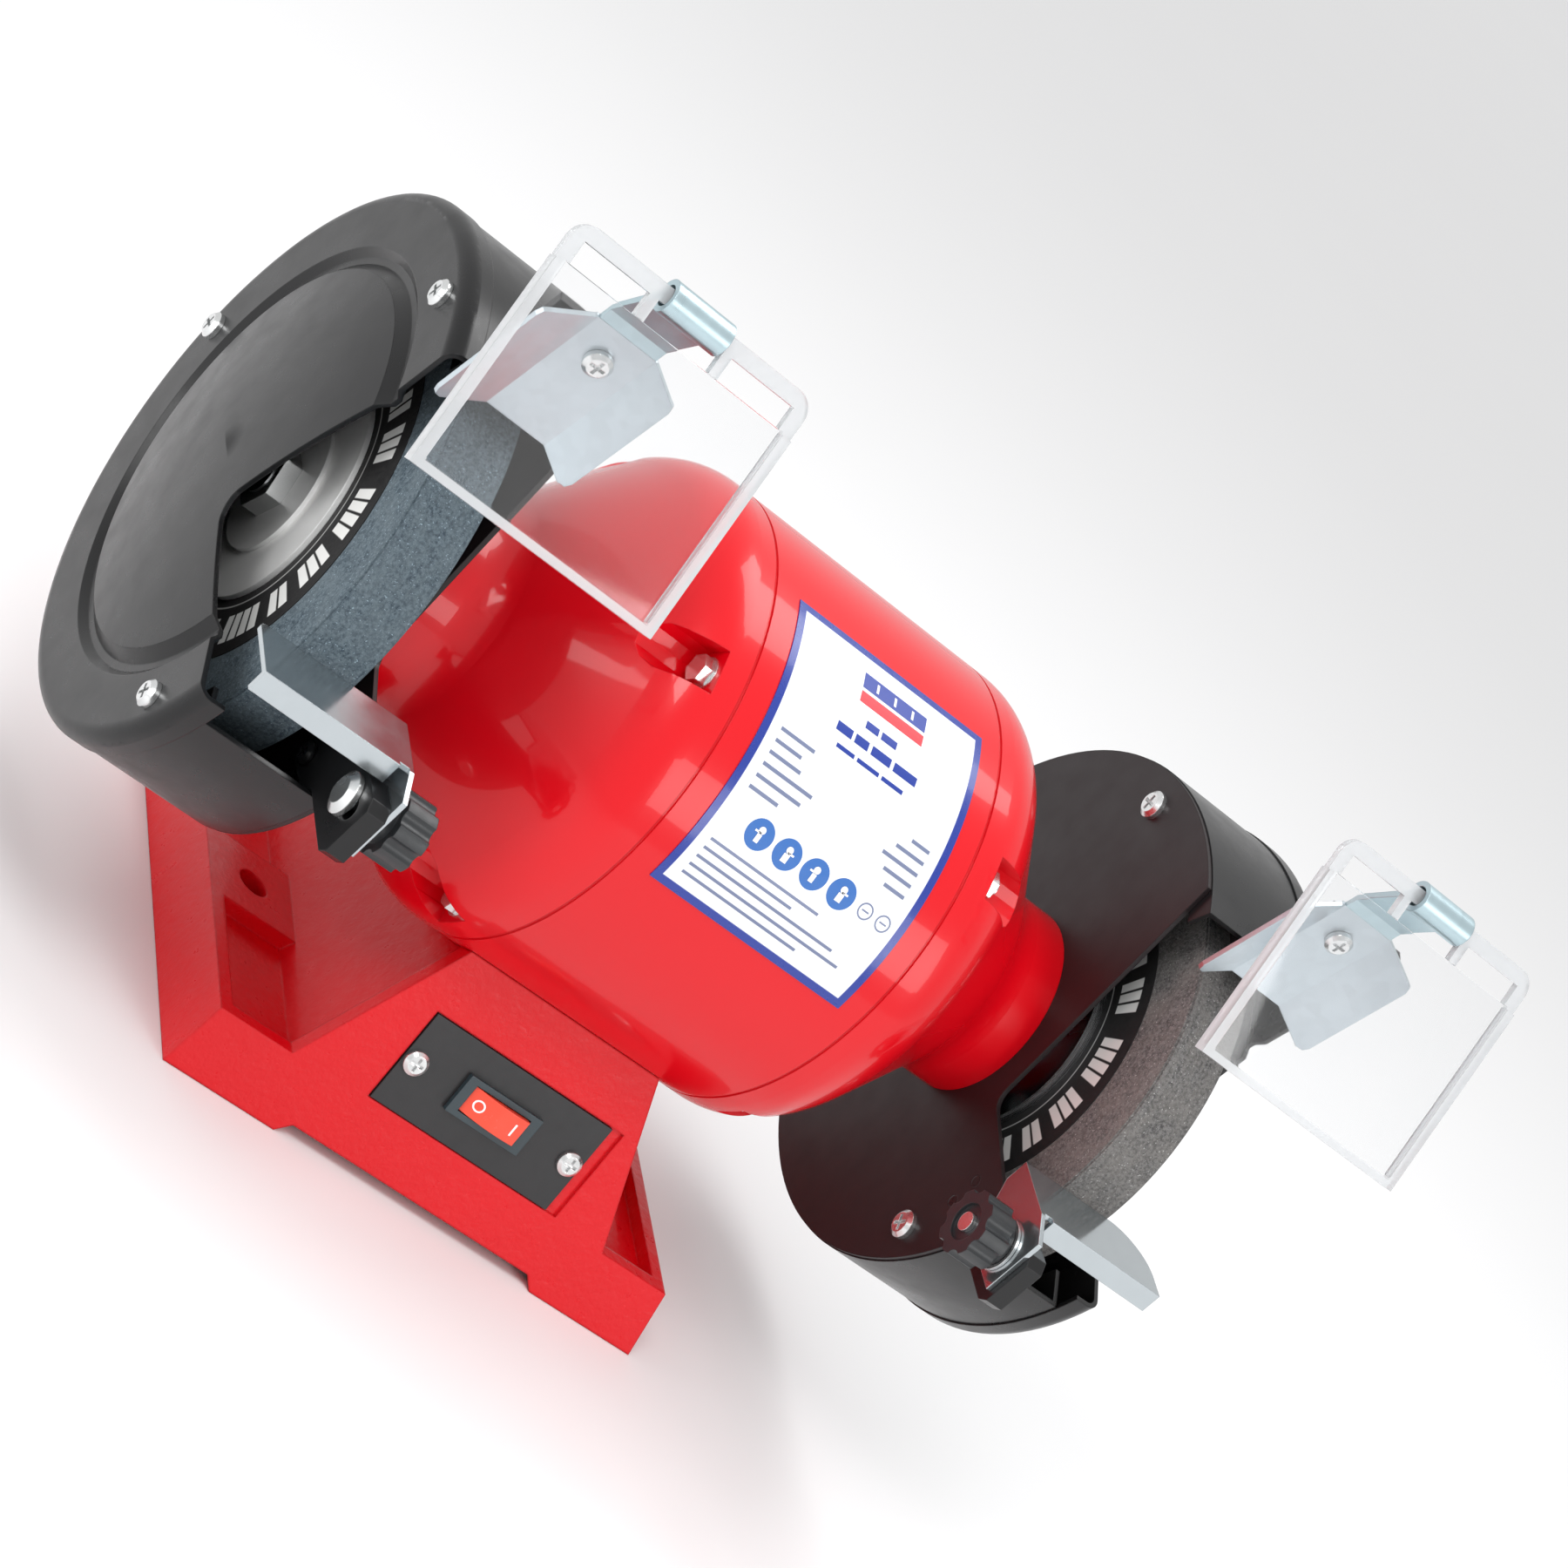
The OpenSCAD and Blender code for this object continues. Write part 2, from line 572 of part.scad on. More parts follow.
bracket_screw_at = [[-66, -21.5], [-66, -31]];
module rest_bracket() difference() {
    on_shaft() {
        translate([0, 0, shroud_x0 + sheet + 0.1]) linear_extrude(bracket_t) polygon([
            [-112, -13], [-112, -29], [-109, -31.5], [-82, -31.5], [-78, -35], [-60, -37], [-60, -16.5],
            [-86, -13.6], [-98, -10.2], [-109, -10.2]]);
        translate([0, 0, rest_x0 + rest_t + 0.1])
            linear_extrude(shroud_x0 + sheet + 0.2 - rest_x0 - rest_t) polygon([
            [-112, -13], [-112, -29], [-109, -31.5], [-92, -31.5], [-92, -11.9], [-98, -10.2], [-109, -10.2]]);
        translate([-71, -35, shroud_x0]) cube([10, 18, sheet + 0.2]);
    }
    on_shaft() {
        for (y = [clamp_y + slot_in + 0.3, clamp_y - slot_out - 0.3]) translate([y, clamp_z, 100])
            cylinder(h = 60, r = 3.2, $fn = 48);
        translate([clamp_y - slot_out - 0.3, clamp_z - 3.2, 100]) cube([slot_in + slot_out + 0.6, 6.4, 60]);
        for (p = bracket_screw_at) translate([p[0], p[1], 100]) cylinder(h = 60, r = 1.9, $fn = 32);
    }
}
module bracket_screws() color(zinc) for (side = [-1, 1], p = bracket_screw_at) on_side(side) on_shaft()
    translate([p[0], p[1], shroud_x0 + sheet + 0.2 + bracket_t]) cross_screw(3.6, 2, 1.85, bracket_t + 2 * sheet + 0.2);
module left_rest_bracket() color(guard_black) on_side(-1) rest_bracket();
module right_rest_bracket() color(guard_black) rest_bracket();
module tool_rest(corner_r) difference() {
    on_shaft() {
        // Table
        translate([0, -table_drop, rest_x0]) rotate([90, 0, 0]) linear_extrude(rest_t) difference() {
            translate([rest_y1, 0]) square([table_d, rest_x1 - rest_x0]);
            difference() {
                translate([rest_y0 - corner_r, rest_x1 - rest_x0 - corner_r]) square(corner_r + 1);
                translate([rest_y0 - corner_r, rest_x1 - rest_x0 - corner_r]) circle(r = corner_r);
            }
        }
        // Front lip
        translate([rest_y1 - rest_t, -table_drop - 7, rest_x0 + 5]) cube([rest_t + eps, 7, rest_x1 - rest_x0 - 5]);
        // Side flange that the knob clamps
        translate([0, 0, rest_x0]) linear_extrude(rest_t) polygon([
            [rest_y0, -table_drop], [rest_y1 - 1, -table_drop], [-110, -6], [-110, -27], [-89, -27],
            [rest_y0, -table_drop - 8]]);
    }
    on_shaft() translate([clamp_y, clamp_z, 100]) cylinder(h = 60, r = 3.05, $fn = 48);
}
module rest_bolt() on_shaft() translate([clamp_y, clamp_z, 0]) {
    head_x = shroud_x0 + sheet + 0.2 + bracket_t;
    translate([0, 0, rest_x0 - knob_l - 1.6]) cylinder(h = head_x - rest_x0 + knob_l + 2, r = 3, $fn = 48);
    translate([0, 0, head_x]) cylinder(h = 1.6, r = 6.5, $fn = 48);
    translate([0, 0, head_x + 1.6]) cylinder(h = 1.4, r1 = 6.5, r2 = 4, $fn = 48);
    translate([0, 0, rest_x0 - 1.1]) difference() {
        cylinder(h = 1, r = 8.5, $fn = 64);
        translate([0, 0, -1]) cylinder(h = 4, r = 2.9, $fn = 48);
    }
}
module rest_knob() on_shaft() translate([clamp_y, clamp_z, rest_x0 - 1.3 - knob_l]) difference() {
    union() {
        cylinder(h = knob_l - 3, r = knob_d / 2, $fn = 96);
        cylinder(h = knob_l, r = knob_d / 2 - 3.2, $fn = 64);
    }
    for (turn = [0 : 45 : 315]) rotate([0, 0, turn]) translate([knob_d / 2 + 1.4, 0, -1])
        cylinder(h = knob_l - 2 + 1, r = 2.8, $fn = 48);
    translate([0, 0, -1]) cylinder(h = knob_l + 2, r = 3.05, $fn = 48);
    translate([0, 0, -1]) cylinder(h = 2.2, r = 6, $fn = 48);
}
module left_tool_rest() color(zinc) on_side(-1) tool_rest(2);
module right_tool_rest() color(zinc) tool_rest(15);
module left_rest_bolt() color(zinc) on_side(-1) rest_bolt();
module right_rest_bolt() color(zinc) rest_bolt();
module left_rest_knob() color(moulding_black) on_side(-1) rest_knob();
module right_rest_knob() color(moulding_black) rest_knob();

// ---- spark arresters and eye shields ----

// Local x, y and z run along the shaft, up the arrester and out towards the operator.
module on_arrester() translate([side_mid, shaft_y + arrester_y, shaft_z + arrester_z])
    rotate([90 + arrester_lean, 0, 0]) children();
// Points in the plane across the shaft: on the mount's plate, and just under the shroud's roof
function on_plate(up, out) = [arrester_y - up * sin(arrester_lean) - out * cos(arrester_lean),
    arrester_z + up * cos(arrester_lean) - out * sin(arrester_lean)];
function under_roof(angle, drop) = (guard_r - sheet - 0.15 - drop) * [-cos(angle), sin(angle)];
module arrester_mount() difference() {
    on_shaft() {
        translate([0, 0, side_mid - 10]) linear_extrude(30) polygon([
            on_plate(2, -0.2), on_plate(38, -0.2), on_plate(38, -3.2), on_plate(2, -3.2)]);
        translate([0, 0, side_mid - 10]) linear_extrude(24) polygon([
            on_plate(2, -1), on_plate(6, -1), on_plate(6, -3.2), under_roof(open_high - 0.5, 0),
            under_roof(open_high + 14, 0), under_roof(open_high + 14, 2.6), under_roof(open_high - 1.5, 2.6)]);
    }
    on_arrester() translate([0, arrester_screw_y, -20]) cylinder(h = 40, r = 1.7, $fn = 32);
}
module left_arrester_mount() color(guard_black) on_side(-1) arrester_mount();
module right_arrester_mount() color(guard_black) arrester_mount();
module arrester_screws() color(zinc) for (side = [-1, 1]) on_side(side) on_arrester()
    translate([0, arrester_screw_y, arrester_t + 0.1]) cross_screw(4.2, 2.6, 1.6, 6);
module wing_outline(w) polygon([[0, 0], [w - 3, -4], [w - 0.8, -3.2], [w, -1],
    [w, arrester_l - 7], [w - 0.8, arrester_l - 4.8], [w - 3, arrester_l - 4], [0, arrester_l]]);
module spark_arrester() difference() {
    on_arrester() {
        translate([-arrester_w / 2, 0, 0]) cube([arrester_w, arrester_l, arrester_t]);
        for (side = [-1, 1]) mirror([side < 0 ? 1 : 0, 0, 0]) translate([arrester_w / 2 - 0.4, 0, 0])
            rotate([0, -wing_angle, 0]) linear_extrude(arrester_t) wing_outline(side > 0 ? 16.5 : 13);
    }
    on_arrester() {
        for (y = [-arrester_slot - 0.1, arrester_slot + 0.1]) translate([0, arrester_screw_y + y, -2])
            cylinder(h = 8, r = 1.9, $fn = 32);
        translate([-1.8, arrester_screw_y - arrester_slot, -2]) cube([3.6, 2 * arrester_slot, 8]);
    }
}
wing_angle = 24;
module left_spark_arrester() color(zinc) on_side(-1) spark_arrester();
module right_spark_arrester() color(zinc) spark_arrester();

clip_r = 4.9;
clip_bore = 3.2;
// The bracket rises from the top of the arrester and ends in a barrel round the shield's top bar.
module shield_bracket() on_shaft() translate([0, 0, side_mid - clip_w / 2]) linear_extrude(clip_w) {
    top = arrester_l + 0.03;
    difference() {
        union() {
            translate([pivot_y, pivot_z]) circle(r = clip_r);
            polygon([on_plate(top, 0), on_plate(top + 4.5, 0), [pivot_y + 4.2, pivot_z - 1.2],
                [pivot_y + 3.2, pivot_z - 3.2], on_plate(top + 4, arrester_t), on_plate(top, arrester_t)]);
        }
        translate([pivot_y, pivot_z]) circle(r = clip_bore);
    }
}
module left_shield_bracket() color(zinc) on_side(-1) shield_bracket();
module right_shield_bracket() color(zinc) shield_bracket();
// Local x, y and z run along the shaft, up the shield and out of its front; the pivot is the origin.
module on_shield() translate([side_mid, shaft_y + pivot_y, shaft_z + pivot_z])
    rotate([shield_tilt, 0, 0]) children();
module shield_outline(inset) {
    top = bar_w / 2;
    r = 6 - inset;
    w = shield_w / 2 - inset;
    translate([-w, top - shield_l + inset]) square([2 * w, shield_l - 6 - inset]);
    translate([-w + r, top - 6]) square([2 * w - 2 * r, 6 - inset]);
    for (side = [-1, 1]) translate([side * (w - r), top - 6]) circle(r = r, $fn = 64);
}
module eye_shield() on_shield() difference() {
    union() {
        translate([0, 0, -shield_t / 2]) linear_extrude(shield_t) shield_outline(0);
        translate([0, 0, -2.1]) linear_extrude(4.2) difference() {
            translate([-shield_w / 2, bar_w / 2 - shield_l]) square([shield_w, shield_l - bar_w - 7.4]);
            translate([-shield_w / 2 + shield_rim, bar_w / 2 - shield_l + shield_rim])
                square([shield_w - 2 * shield_rim, shield_l]);
        }
    }
    for (slot = [[-37, 22.5], [-11.5, 23], [14.5, 22.5]])
        translate([slot[0], -bar_w / 2 - 6.8, -5]) cube([slot[1], 6.8, 10]);
}
module left_eye_shield() color([0.85, 0.92, 0.95, 0.4]) on_side(-1) eye_shield();
module right_eye_shield() color([0.85, 0.92, 0.95, 0.4]) eye_shield();

// ---- rotor ----

module shaft() color("silver") on_shaft() {
    cylinder(h = 2 * (wheel_in - flange_t - paper_t), r = journal_r, center = true);
    cylinder(h = 2 * (wheel_out + paper_t + outer_flange_t + nut_t), r = spindle_r, center = true);
}
module rotor_core() color("slategray") on_shaft() difference() {
    cylinder(h = 66, r = 39, center = true);
    cylinder(h = 70, r = journal_r, center = true);
}
module rotor_fan() color("darkgray") on_shaft() translate([0, 0, 50]) {
    ring(14, journal_r, 12);
    ring(40, 13, 1.6);
    for (turn = [0 : 30 : 330]) rotate([0, 0, turn]) translate([13, -0.8, 0]) cube([27, 1.6, 10]);
}
module wheel_flange(thickness) difference() {
    union() {
        cylinder(h = thickness, r = flange_r * 0.6);
        cylinder(h = thickness * 0.55, r = flange_r);
    }
    translate([0, 0, -1]) cylinder(h = thickness + 2, r = spindle_r);
}
module inner_flanges() color("gainsboro") for (side = [-1, 1]) on_side(side) on_shaft()
    translate([0, 0, wheel_in - paper_t]) rotate([180, 0, 0]) wheel_flange(flange_t);
module outer_flanges() color("gainsboro") for (side = [-1, 1]) on_side(side) on_shaft()
    translate([0, 0, wheel_out + paper_t]) wheel_flange(outer_flange_t);
module wheel() on_shaft() translate([0, 0, wheel_in]) difference() {
    union() {
        cylinder(h = wheel_t, r = wheel_r - 0.6, $fn = 180);
        translate([0, 0, 0.6]) cylinder(h = wheel_t - 1.2, r = wheel_r, $fn = 180);
    }
    translate([0, 0, -1]) cylinder(h = wheel_t + 2, r = spindle_r);
}
module left_wheel() color([0.42, 0.47, 0.52]) on_side(-1) wheel();
module right_wheel() color([0.42, 0.41, 0.40]) wheel();
module wheel_labels() color("black") for (side = [-1, 1], x = [wheel_in - paper_t, wheel_out]) on_side(side)
    on_shaft() translate([0, 0, x]) ring(label_r, spindle_r, paper_t);
module wheel_nuts() color(zinc) for (side = [-1, 1]) on_side(side) on_shaft()
    translate([0, 0, wheel_out + paper_t + outer_flange_t]) difference() {
        hex_head(nut_flats, nut_t - 0.3);
        translate([0, 0, -1]) cylinder(h = nut_t + 2, r = spindle_r);
    }

base_casting();
base_plate();
base_plate_screws();
saddle_bolts();
cable_gland();
motor_housing();
left_end_bell();
right_end_bell();
tie_bolts();
tie_nuts();
stator_core();
stator_windings();
bearings();
capacitor();
capacitor_clip();
terminal_block();
rating_label();
switch_plate();
switch_body();
switch_screws();
rocker();
left_guard_plate();
right_guard_plate();
left_guard_shroud();
right_guard_shroud();
left_guard_cover();
right_guard_cover();
guard_mount_screws();
plate_screws();
cover_screws();
left_rest_bracket();
right_rest_bracket();
bracket_screws();
left_tool_rest();
right_tool_rest();
left_rest_bolt();
right_rest_bolt();
left_rest_knob();
right_rest_knob();
left_arrester_mount();
right_arrester_mount();
arrester_screws();
left_spark_arrester();
right_spark_arrester();
left_shield_bracket();
right_shield_bracket();
left_eye_shield();
right_eye_shield();
shaft();
rotor_core();
rotor_fan();
inner_flanges();
outer_flanges();
left_wheel();
right_wheel();
wheel_labels();
wheel_nuts();
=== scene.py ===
import bpy
import json
import math
from mathutils import Matrix, Vector


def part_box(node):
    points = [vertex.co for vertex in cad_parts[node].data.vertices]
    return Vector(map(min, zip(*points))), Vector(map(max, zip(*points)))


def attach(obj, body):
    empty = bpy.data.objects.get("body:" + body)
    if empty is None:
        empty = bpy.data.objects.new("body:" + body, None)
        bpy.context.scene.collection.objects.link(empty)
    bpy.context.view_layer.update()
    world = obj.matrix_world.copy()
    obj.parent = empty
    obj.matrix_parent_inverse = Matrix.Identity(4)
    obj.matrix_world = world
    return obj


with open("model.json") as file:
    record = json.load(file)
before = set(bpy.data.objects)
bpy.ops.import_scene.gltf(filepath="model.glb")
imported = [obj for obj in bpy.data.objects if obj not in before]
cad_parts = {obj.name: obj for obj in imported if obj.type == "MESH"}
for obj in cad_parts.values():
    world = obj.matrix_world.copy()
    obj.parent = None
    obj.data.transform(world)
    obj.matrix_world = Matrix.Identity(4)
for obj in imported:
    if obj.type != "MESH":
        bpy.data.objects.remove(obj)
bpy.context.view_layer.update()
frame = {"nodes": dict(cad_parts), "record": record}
nodes = frame["nodes"]
joints = {joint["name"]: joint for joint in frame["record"]["behaviour"]["joints"]}
millimetre = 0.001
print("frame loaded with", len(nodes), "nodes")


# ---------- camera, light and floor ----------

cameraSettings = {
    "place": (-0.6449, -1.0909, 0.5843),
    "right": (0.6981, -0.1493, 0.7003),
    "up": (-0.5157, 0.5737, 0.6364),
    "back": (-0.4968, -0.8054, 0.3234),
    "lens": 105.08,
}
lightSettings = {
    "sky": (1.0, 1.0, 1.0), "skyStrength": 0.80,
    "lamps": [
        # name, place, aim, width, height, power
        ("keyBox", (-0.55, -0.55, 1.05), (0.0, 0.0, 0.13), 0.50, 0.36, 4.6),
        ("topBox", (0.35, 0.25, 1.10), (0.0, 0.0, 0.13), 0.60, 0.40, 3.6),
        ("frontBox", (0.55, -1.00, 0.45), (0.0, 0.0, 0.12), 0.45, 0.45, 2.4),
        ("sideBox", (-1.05, -0.15, 0.35), (-0.1, 0.0, 0.13), 0.35, 0.50, 2.4),
    ],
    "floor": (0.93, 0.93, 0.935),
}


def deselectAll():
    bpy.ops.object.select_all(action="DESELECT")


def makeCamera(settings):
    data = bpy.data.cameras.new("mainCamera")
    data.lens = settings["lens"]
    data.sensor_width = 36.0
    camera = bpy.data.objects.new("mainCamera", data)
    bpy.context.collection.objects.link(camera)
    right, up, back = (Vector(settings[k]).normalized() for k in ("right", "up", "back"))
    turn = Matrix((right, up, back)).transposed().to_4x4()
    camera.matrix_world = Matrix.Translation(settings["place"]) @ turn
    data.clip_start, data.clip_end = 0.05, 20.0
    bpy.context.scene.camera = camera


def makeLights(settings):
    world = bpy.data.worlds.new("studio")
    bpy.context.scene.world = world
    world.use_nodes = True
    sky = world.node_tree.nodes["Background"]
    sky.inputs["Color"].default_value = (*settings["sky"], 1.0)
    sky.inputs["Strength"].default_value = settings["skyStrength"]
    for name, place, aim, width, height, power in settings["lamps"]:
        data = bpy.data.lights.new(name, "AREA")
        data.shape = "RECTANGLE"
        data.size, data.size_y, data.energy = width, height, power
        lamp = bpy.data.objects.new(name, data)
        bpy.context.collection.objects.link(lamp)
        lamp.location = place
        lamp.rotation_euler = (Vector(place) - Vector(aim)).to_track_quat("Z", "Y").to_euler()


makeCamera(cameraSettings)
makeLights(lightSettings)
bpy.context.scene.view_settings.view_transform = "Standard"
print("camera and lights made")


# ---------- material building ----------

def addNode(tree, kind, inputs=None, **values):
    node = tree.nodes.new(kind)
    for key, value in values.items():
        setattr(node, key, value)
    for key, value in (inputs or {}).items():
        if isinstance(value, bpy.types.NodeSocket):
            tree.links.new(value, node.inputs[key])
        else:
            node.inputs[key].default_value = value
    return node


def startMaterial(name, **shaderValues):
    material = bpy.data.materials.new(name)
    material.use_nodes = True
    tree = material.node_tree
    shader = tree.nodes["Principled BSDF"]
    for key, value in shaderValues.items():
        shader.inputs[key.replace("_", " ")].default_value = value
    place = addNode(tree, "ShaderNodeTexCoord").outputs["Object"]
    return material, tree, shader, place


def calc(tree, operation, first, second=None, third=None):
    node = addNode(tree, "ShaderNodeMath", operation=operation)
    for index, value in enumerate((first, second, third)):
        if value is None:
            continue
        if isinstance(value, bpy.types.NodeSocket):
            tree.links.new(value, node.inputs[index])
        else:
            node.inputs[index].default_value = value
    return node.outputs[0]


def blend(tree, factor, first, second):
    node = addNode(tree, "ShaderNodeMix", data_type="RGBA")
    given = {"Factor": factor, "A": first, "B": second}
    for key, value in given.items():
        socket = node.inputs[key]
        if isinstance(value, bpy.types.NodeSocket):
            tree.links.new(value, socket)
        elif socket.type == "RGBA":
            socket.default_value = (*value[:3], 1.0)
        else:
            socket.default_value = value
    return node.outputs["Result"]


def noise(tree, place, scale, detail=3.0, roughness=0.55, distortion=0.0):
    return addNode(tree, "ShaderNodeTexNoise", {
        "Vector": place, "Scale": scale, "Detail": detail, "Roughness": roughness, "Distortion": distortion,
    }).outputs["Fac"]


def span(tree, value, fromLow, fromHigh, toLow, toHigh):
    return addNode(tree, "ShaderNodeMapRange", {
        "Value": value, "From Min": fromLow, "From Max": fromHigh, "To Min": toLow, "To Max": toHigh,
    }).outputs["Result"]


def stretched(tree, place, scale):
    return addNode(tree, "ShaderNodeMapping", {"Vector": place, "Scale": scale}).outputs["Vector"]


def roundedNormal(tree, radius):
    return addNode(tree, "ShaderNodeBevel", {"Radius": radius}, samples=4).outputs["Normal"]


def bump(tree, shader, height, strength, distance, edge=None):
    node = addNode(tree, "ShaderNodeBump", {"Height": height, "Strength": strength, "Distance": distance})
    if edge is not None:
        tree.links.new(edge, node.inputs["Normal"])
    tree.links.new(node.outputs["Normal"], shader.inputs["Normal"])


def glossRed():
    material, tree, shader, place = startMaterial(
        "glossRed", Roughness=0.27, Coat_Weight=0.42, Coat_Roughness=0.05, Specular_IOR_Level=0.22)
    drift = noise(tree, place, 9.0, 2.0)
    red = blend(tree, drift, (0.68, 0.0005, 0.006), (0.76, 0.0012, 0.009))
    tree.links.new(red, shader.inputs["Base Color"])
    ripple = noise(tree, place, 320.0, 2.0, 0.4)
    bump(tree, shader, ripple, 0.05, 0.0002, roundedNormal(tree, 0.0005))
    return material


def castingRed():
    # the base is the same red over a coarse casting skin
    material, tree, shader, place = startMaterial(
        "castingRed", Coat_Weight=0.22, Coat_Roughness=0.14, Specular_IOR_Level=0.28)
    drift = noise(tree, place, 14.0, 3.0)
    speck = noise(tree, place, 900.0, 2.0, 0.7)
    red = blend(tree, drift, (0.64, 0.0005, 0.005), (0.75, 0.0012, 0.008))
    # pale specks in the red are painted glints, standing in for the speckled highlights on the casting
    light = span(tree, speck, 0.66, 0.78, 0.0, 0.35)
    tree.links.new(blend(tree, light, red, (0.86, 0.045, 0.055)), shader.inputs["Base Color"])
    tree.links.new(span(tree, noise(tree, place, 260.0), 0.3, 0.7, 0.26, 0.44), shader.inputs["Roughness"])
    lumps = calc(tree, "MULTIPLY", noise(tree, place, 170.0, 2.0), 1.2)
    skin = calc(tree, "ADD", noise(tree, place, 520.0, 4.0, 0.6), lumps)
    bump(tree, shader, skin, 0.32, 0.0006, roundedNormal(tree, 0.0011))
    return material


def satinBlack(name, color, rough, skin):
    material, tree, shader, place = startMaterial(
        name, Specular_IOR_Level=0.32, Coat_Weight=0.10, Coat_Roughness=0.2)
    drift = noise(tree, place, 25.0, 3.0)
    dark = tuple(c * 0.8 for c in color)
    tree.links.new(blend(tree, drift, dark, color), shader.inputs["Base Color"])
    dull = span(tree, noise(tree, place, 90.0, 4.0), 0.3, 0.7, rough - 0.05, rough + 0.06)
    tree.links.new(dull, shader.inputs["Roughness"])
    bump(tree, shader, noise(tree, place, 1400.0, 2.0), skin, 0.0002, roundedNormal(tree, 0.0006))
    return material


def zincSheet(name, color, rough, brushed, spangle, metal=0.92):
    material, tree, shader, place = startMaterial(name, Metallic=metal)
    cells = addNode(tree, "ShaderNodeTexVoronoi", {"Vector": place, "Scale": 260.0}).outputs["Color"]
    patch = addNode(tree, "ShaderNodeSeparateColor", {"Color": cells}).outputs["Red"]
    lines = noise(tree, stretched(tree, place, brushed), 1.0, 3.0, 0.6)
    tone = calc(tree, "ADD", calc(tree, "MULTIPLY", patch, spangle), calc(tree, "MULTIPLY", lines, 0.6))
    pale = tuple(min(1.0, c * 1.16) for c in color)
    tree.links.new(blend(tree, tone, color, pale), shader.inputs["Base Color"])
    tree.links.new(span(tree, lines, 0.25, 0.75, rough - 0.07, rough + 0.08), shader.inputs["Roughness"])
    bump(tree, shader, lines, 0.06, 0.0002, roundedNormal(tree, 0.0004))
    return material


def turnedSteel(name, color, rough):
    # fine rings left by the lathe run round the shaft
    material, tree, shader, place = startMaterial(name, Metallic=1.0)
    rings = noise(tree, stretched(tree, place, (9000.0, 40.0, 40.0)), 1.0, 2.0)
    pale = tuple(min(1.0, c * 1.15) for c in color)
    tree.links.new(blend(tree, rings, color, pale), shader.inputs["Base Color"])
    tree.links.new(span(tree, rings, 0.3, 0.7, rough - 0.05, rough + 0.07), shader.inputs["Roughness"])
    bump(tree, shader, rings, 0.08, 0.0001)
    return material


def grindingStone(name, dark, pale, warm):
    material, tree, shader, place = startMaterial(name, Specular_IOR_Level=0.35)
    grain = noise(tree, place, 900.0, 4.0, 0.8)
    cloud = noise(tree, place, 120.0, 4.0, 0.6)
    streak = noise(tree, stretched(tree, place, (900.0, 110.0, 110.0)), 1.0, 3.0, 0.6)
    base = blend(tree, span(tree, grain, 0.40, 0.60, 0.0, 1.0), dark, pale)
    worn = blend(tree, span(tree, calc(tree, "ADD", cloud, streak), 0.75, 1.25, 0.0, 0.55), base, warm)
    glint = span(tree, noise(tree, place, 1700.0, 1.0), 0.68, 0.74, 0.0, 0.75)
    bright = tuple(min(1.0, c * 2.6) for c in pale)
    tree.links.new(blend(tree, glint, worn, bright), shader.inputs["Base Color"])
    tree.links.new(span(tree, grain, 0.3, 0.7, 0.72, 0.95), shader.inputs["Roughness"])
    height = calc(tree, "ADD", grain, calc(tree, "MULTIPLY", noise(tree, place, 500.0, 3.0), 0.7))
    bump(tree, shader, height, 0.75, 0.0005)
    return material


def mouldedPlastic(name, color, rough, skin=0.08):
    material, tree, shader, place = startMaterial(name, Specular_IOR_Level=0.5)
    drift = noise(tree, place, 60.0, 3.0)
    pale = tuple(min(1.0, c * 1.35 + 0.002) for c in color)
    tree.links.new(blend(tree, drift, color, pale), shader.inputs["Base Color"])
    dull = span(tree, noise(tree, place, 300.0), 0.3, 0.7, rough - 0.05, rough + 0.06)
    tree.links.new(dull, shader.inputs["Roughness"])
    bump(tree, shader, noise(tree, place, 1800.0, 2.0), skin, 0.0002, roundedNormal(tree, 0.0004))
    return material


def clearSheet():
    # clear in the middle; the whitish borders and whitish top bar are painted highlights, standing in for
    # light caught by the sheet's edges
    settings = {"lean": math.radians(66.0), "border": 0.0033, "topBar": -0.0090, "soft": 0.0002}
    material, tree, shader, place = startMaterial("clearSheet", IOR=1.46, Specular_IOR_Level=0.5)
    pivotX, pivotY, pivotZ = joints["right_shield_tilt"]["pos_m"]
    low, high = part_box("right_eye_shield")
    half = (high.x - low.x) / 2
    parts = addNode(tree, "ShaderNodeSeparateXYZ", {"Vector": place})
    fromMiddle = calc(tree, "SUBTRACT", calc(tree, "ABSOLUTE", parts.outputs["X"]), pivotX)
    across = calc(tree, "ABSOLUTE", fromMiddle)
    lean, border, soft = settings["lean"], settings["border"], settings["soft"]
    forward = calc(tree, "MULTIPLY", calc(tree, "SUBTRACT", parts.outputs["Y"], pivotY), math.cos(lean))
    upward = calc(tree, "MULTIPLY", calc(tree, "SUBTRACT", parts.outputs["Z"], pivotZ), math.sin(lean))
    along = calc(tree, "ADD", forward, upward)
    reach = (pivotZ - low.z) / math.sin(lean)
    side = span(tree, across, half - border - soft, half - border + soft, 0.0, 1.0)
    bottom = span(tree, along, border - reach - soft, border - reach + soft, 1.0, 0.0)
    top = span(tree, along, settings["topBar"] - soft, settings["topBar"] + soft, 0.0, 1.0)
    # mask of the painted edge highlights along the borders and the top bar
    edgeHighlight = calc(tree, "MAXIMUM", calc(tree, "MAXIMUM", side, bottom), top)
    haze = noise(tree, place, 45.0, 4.0, 0.6)
    clear = blend(tree, haze, (0.945, 0.955, 0.965), (0.985, 0.985, 0.985))
    tree.links.new(blend(tree, edgeHighlight, clear, (0.83, 0.845, 0.86)), shader.inputs["Base Color"])
    tree.links.new(span(tree, edgeHighlight, 0.0, 1.0, 0.98, 0.50), shader.inputs["Transmission Weight"])
    dull = calc(tree, "ADD", span(tree, haze, 0.3, 0.7, 0.015, 0.05), calc(tree, "MULTIPLY", edgeHighlight, 0.16))
    tree.links.new(dull, shader.inputs["Roughness"])
    return material


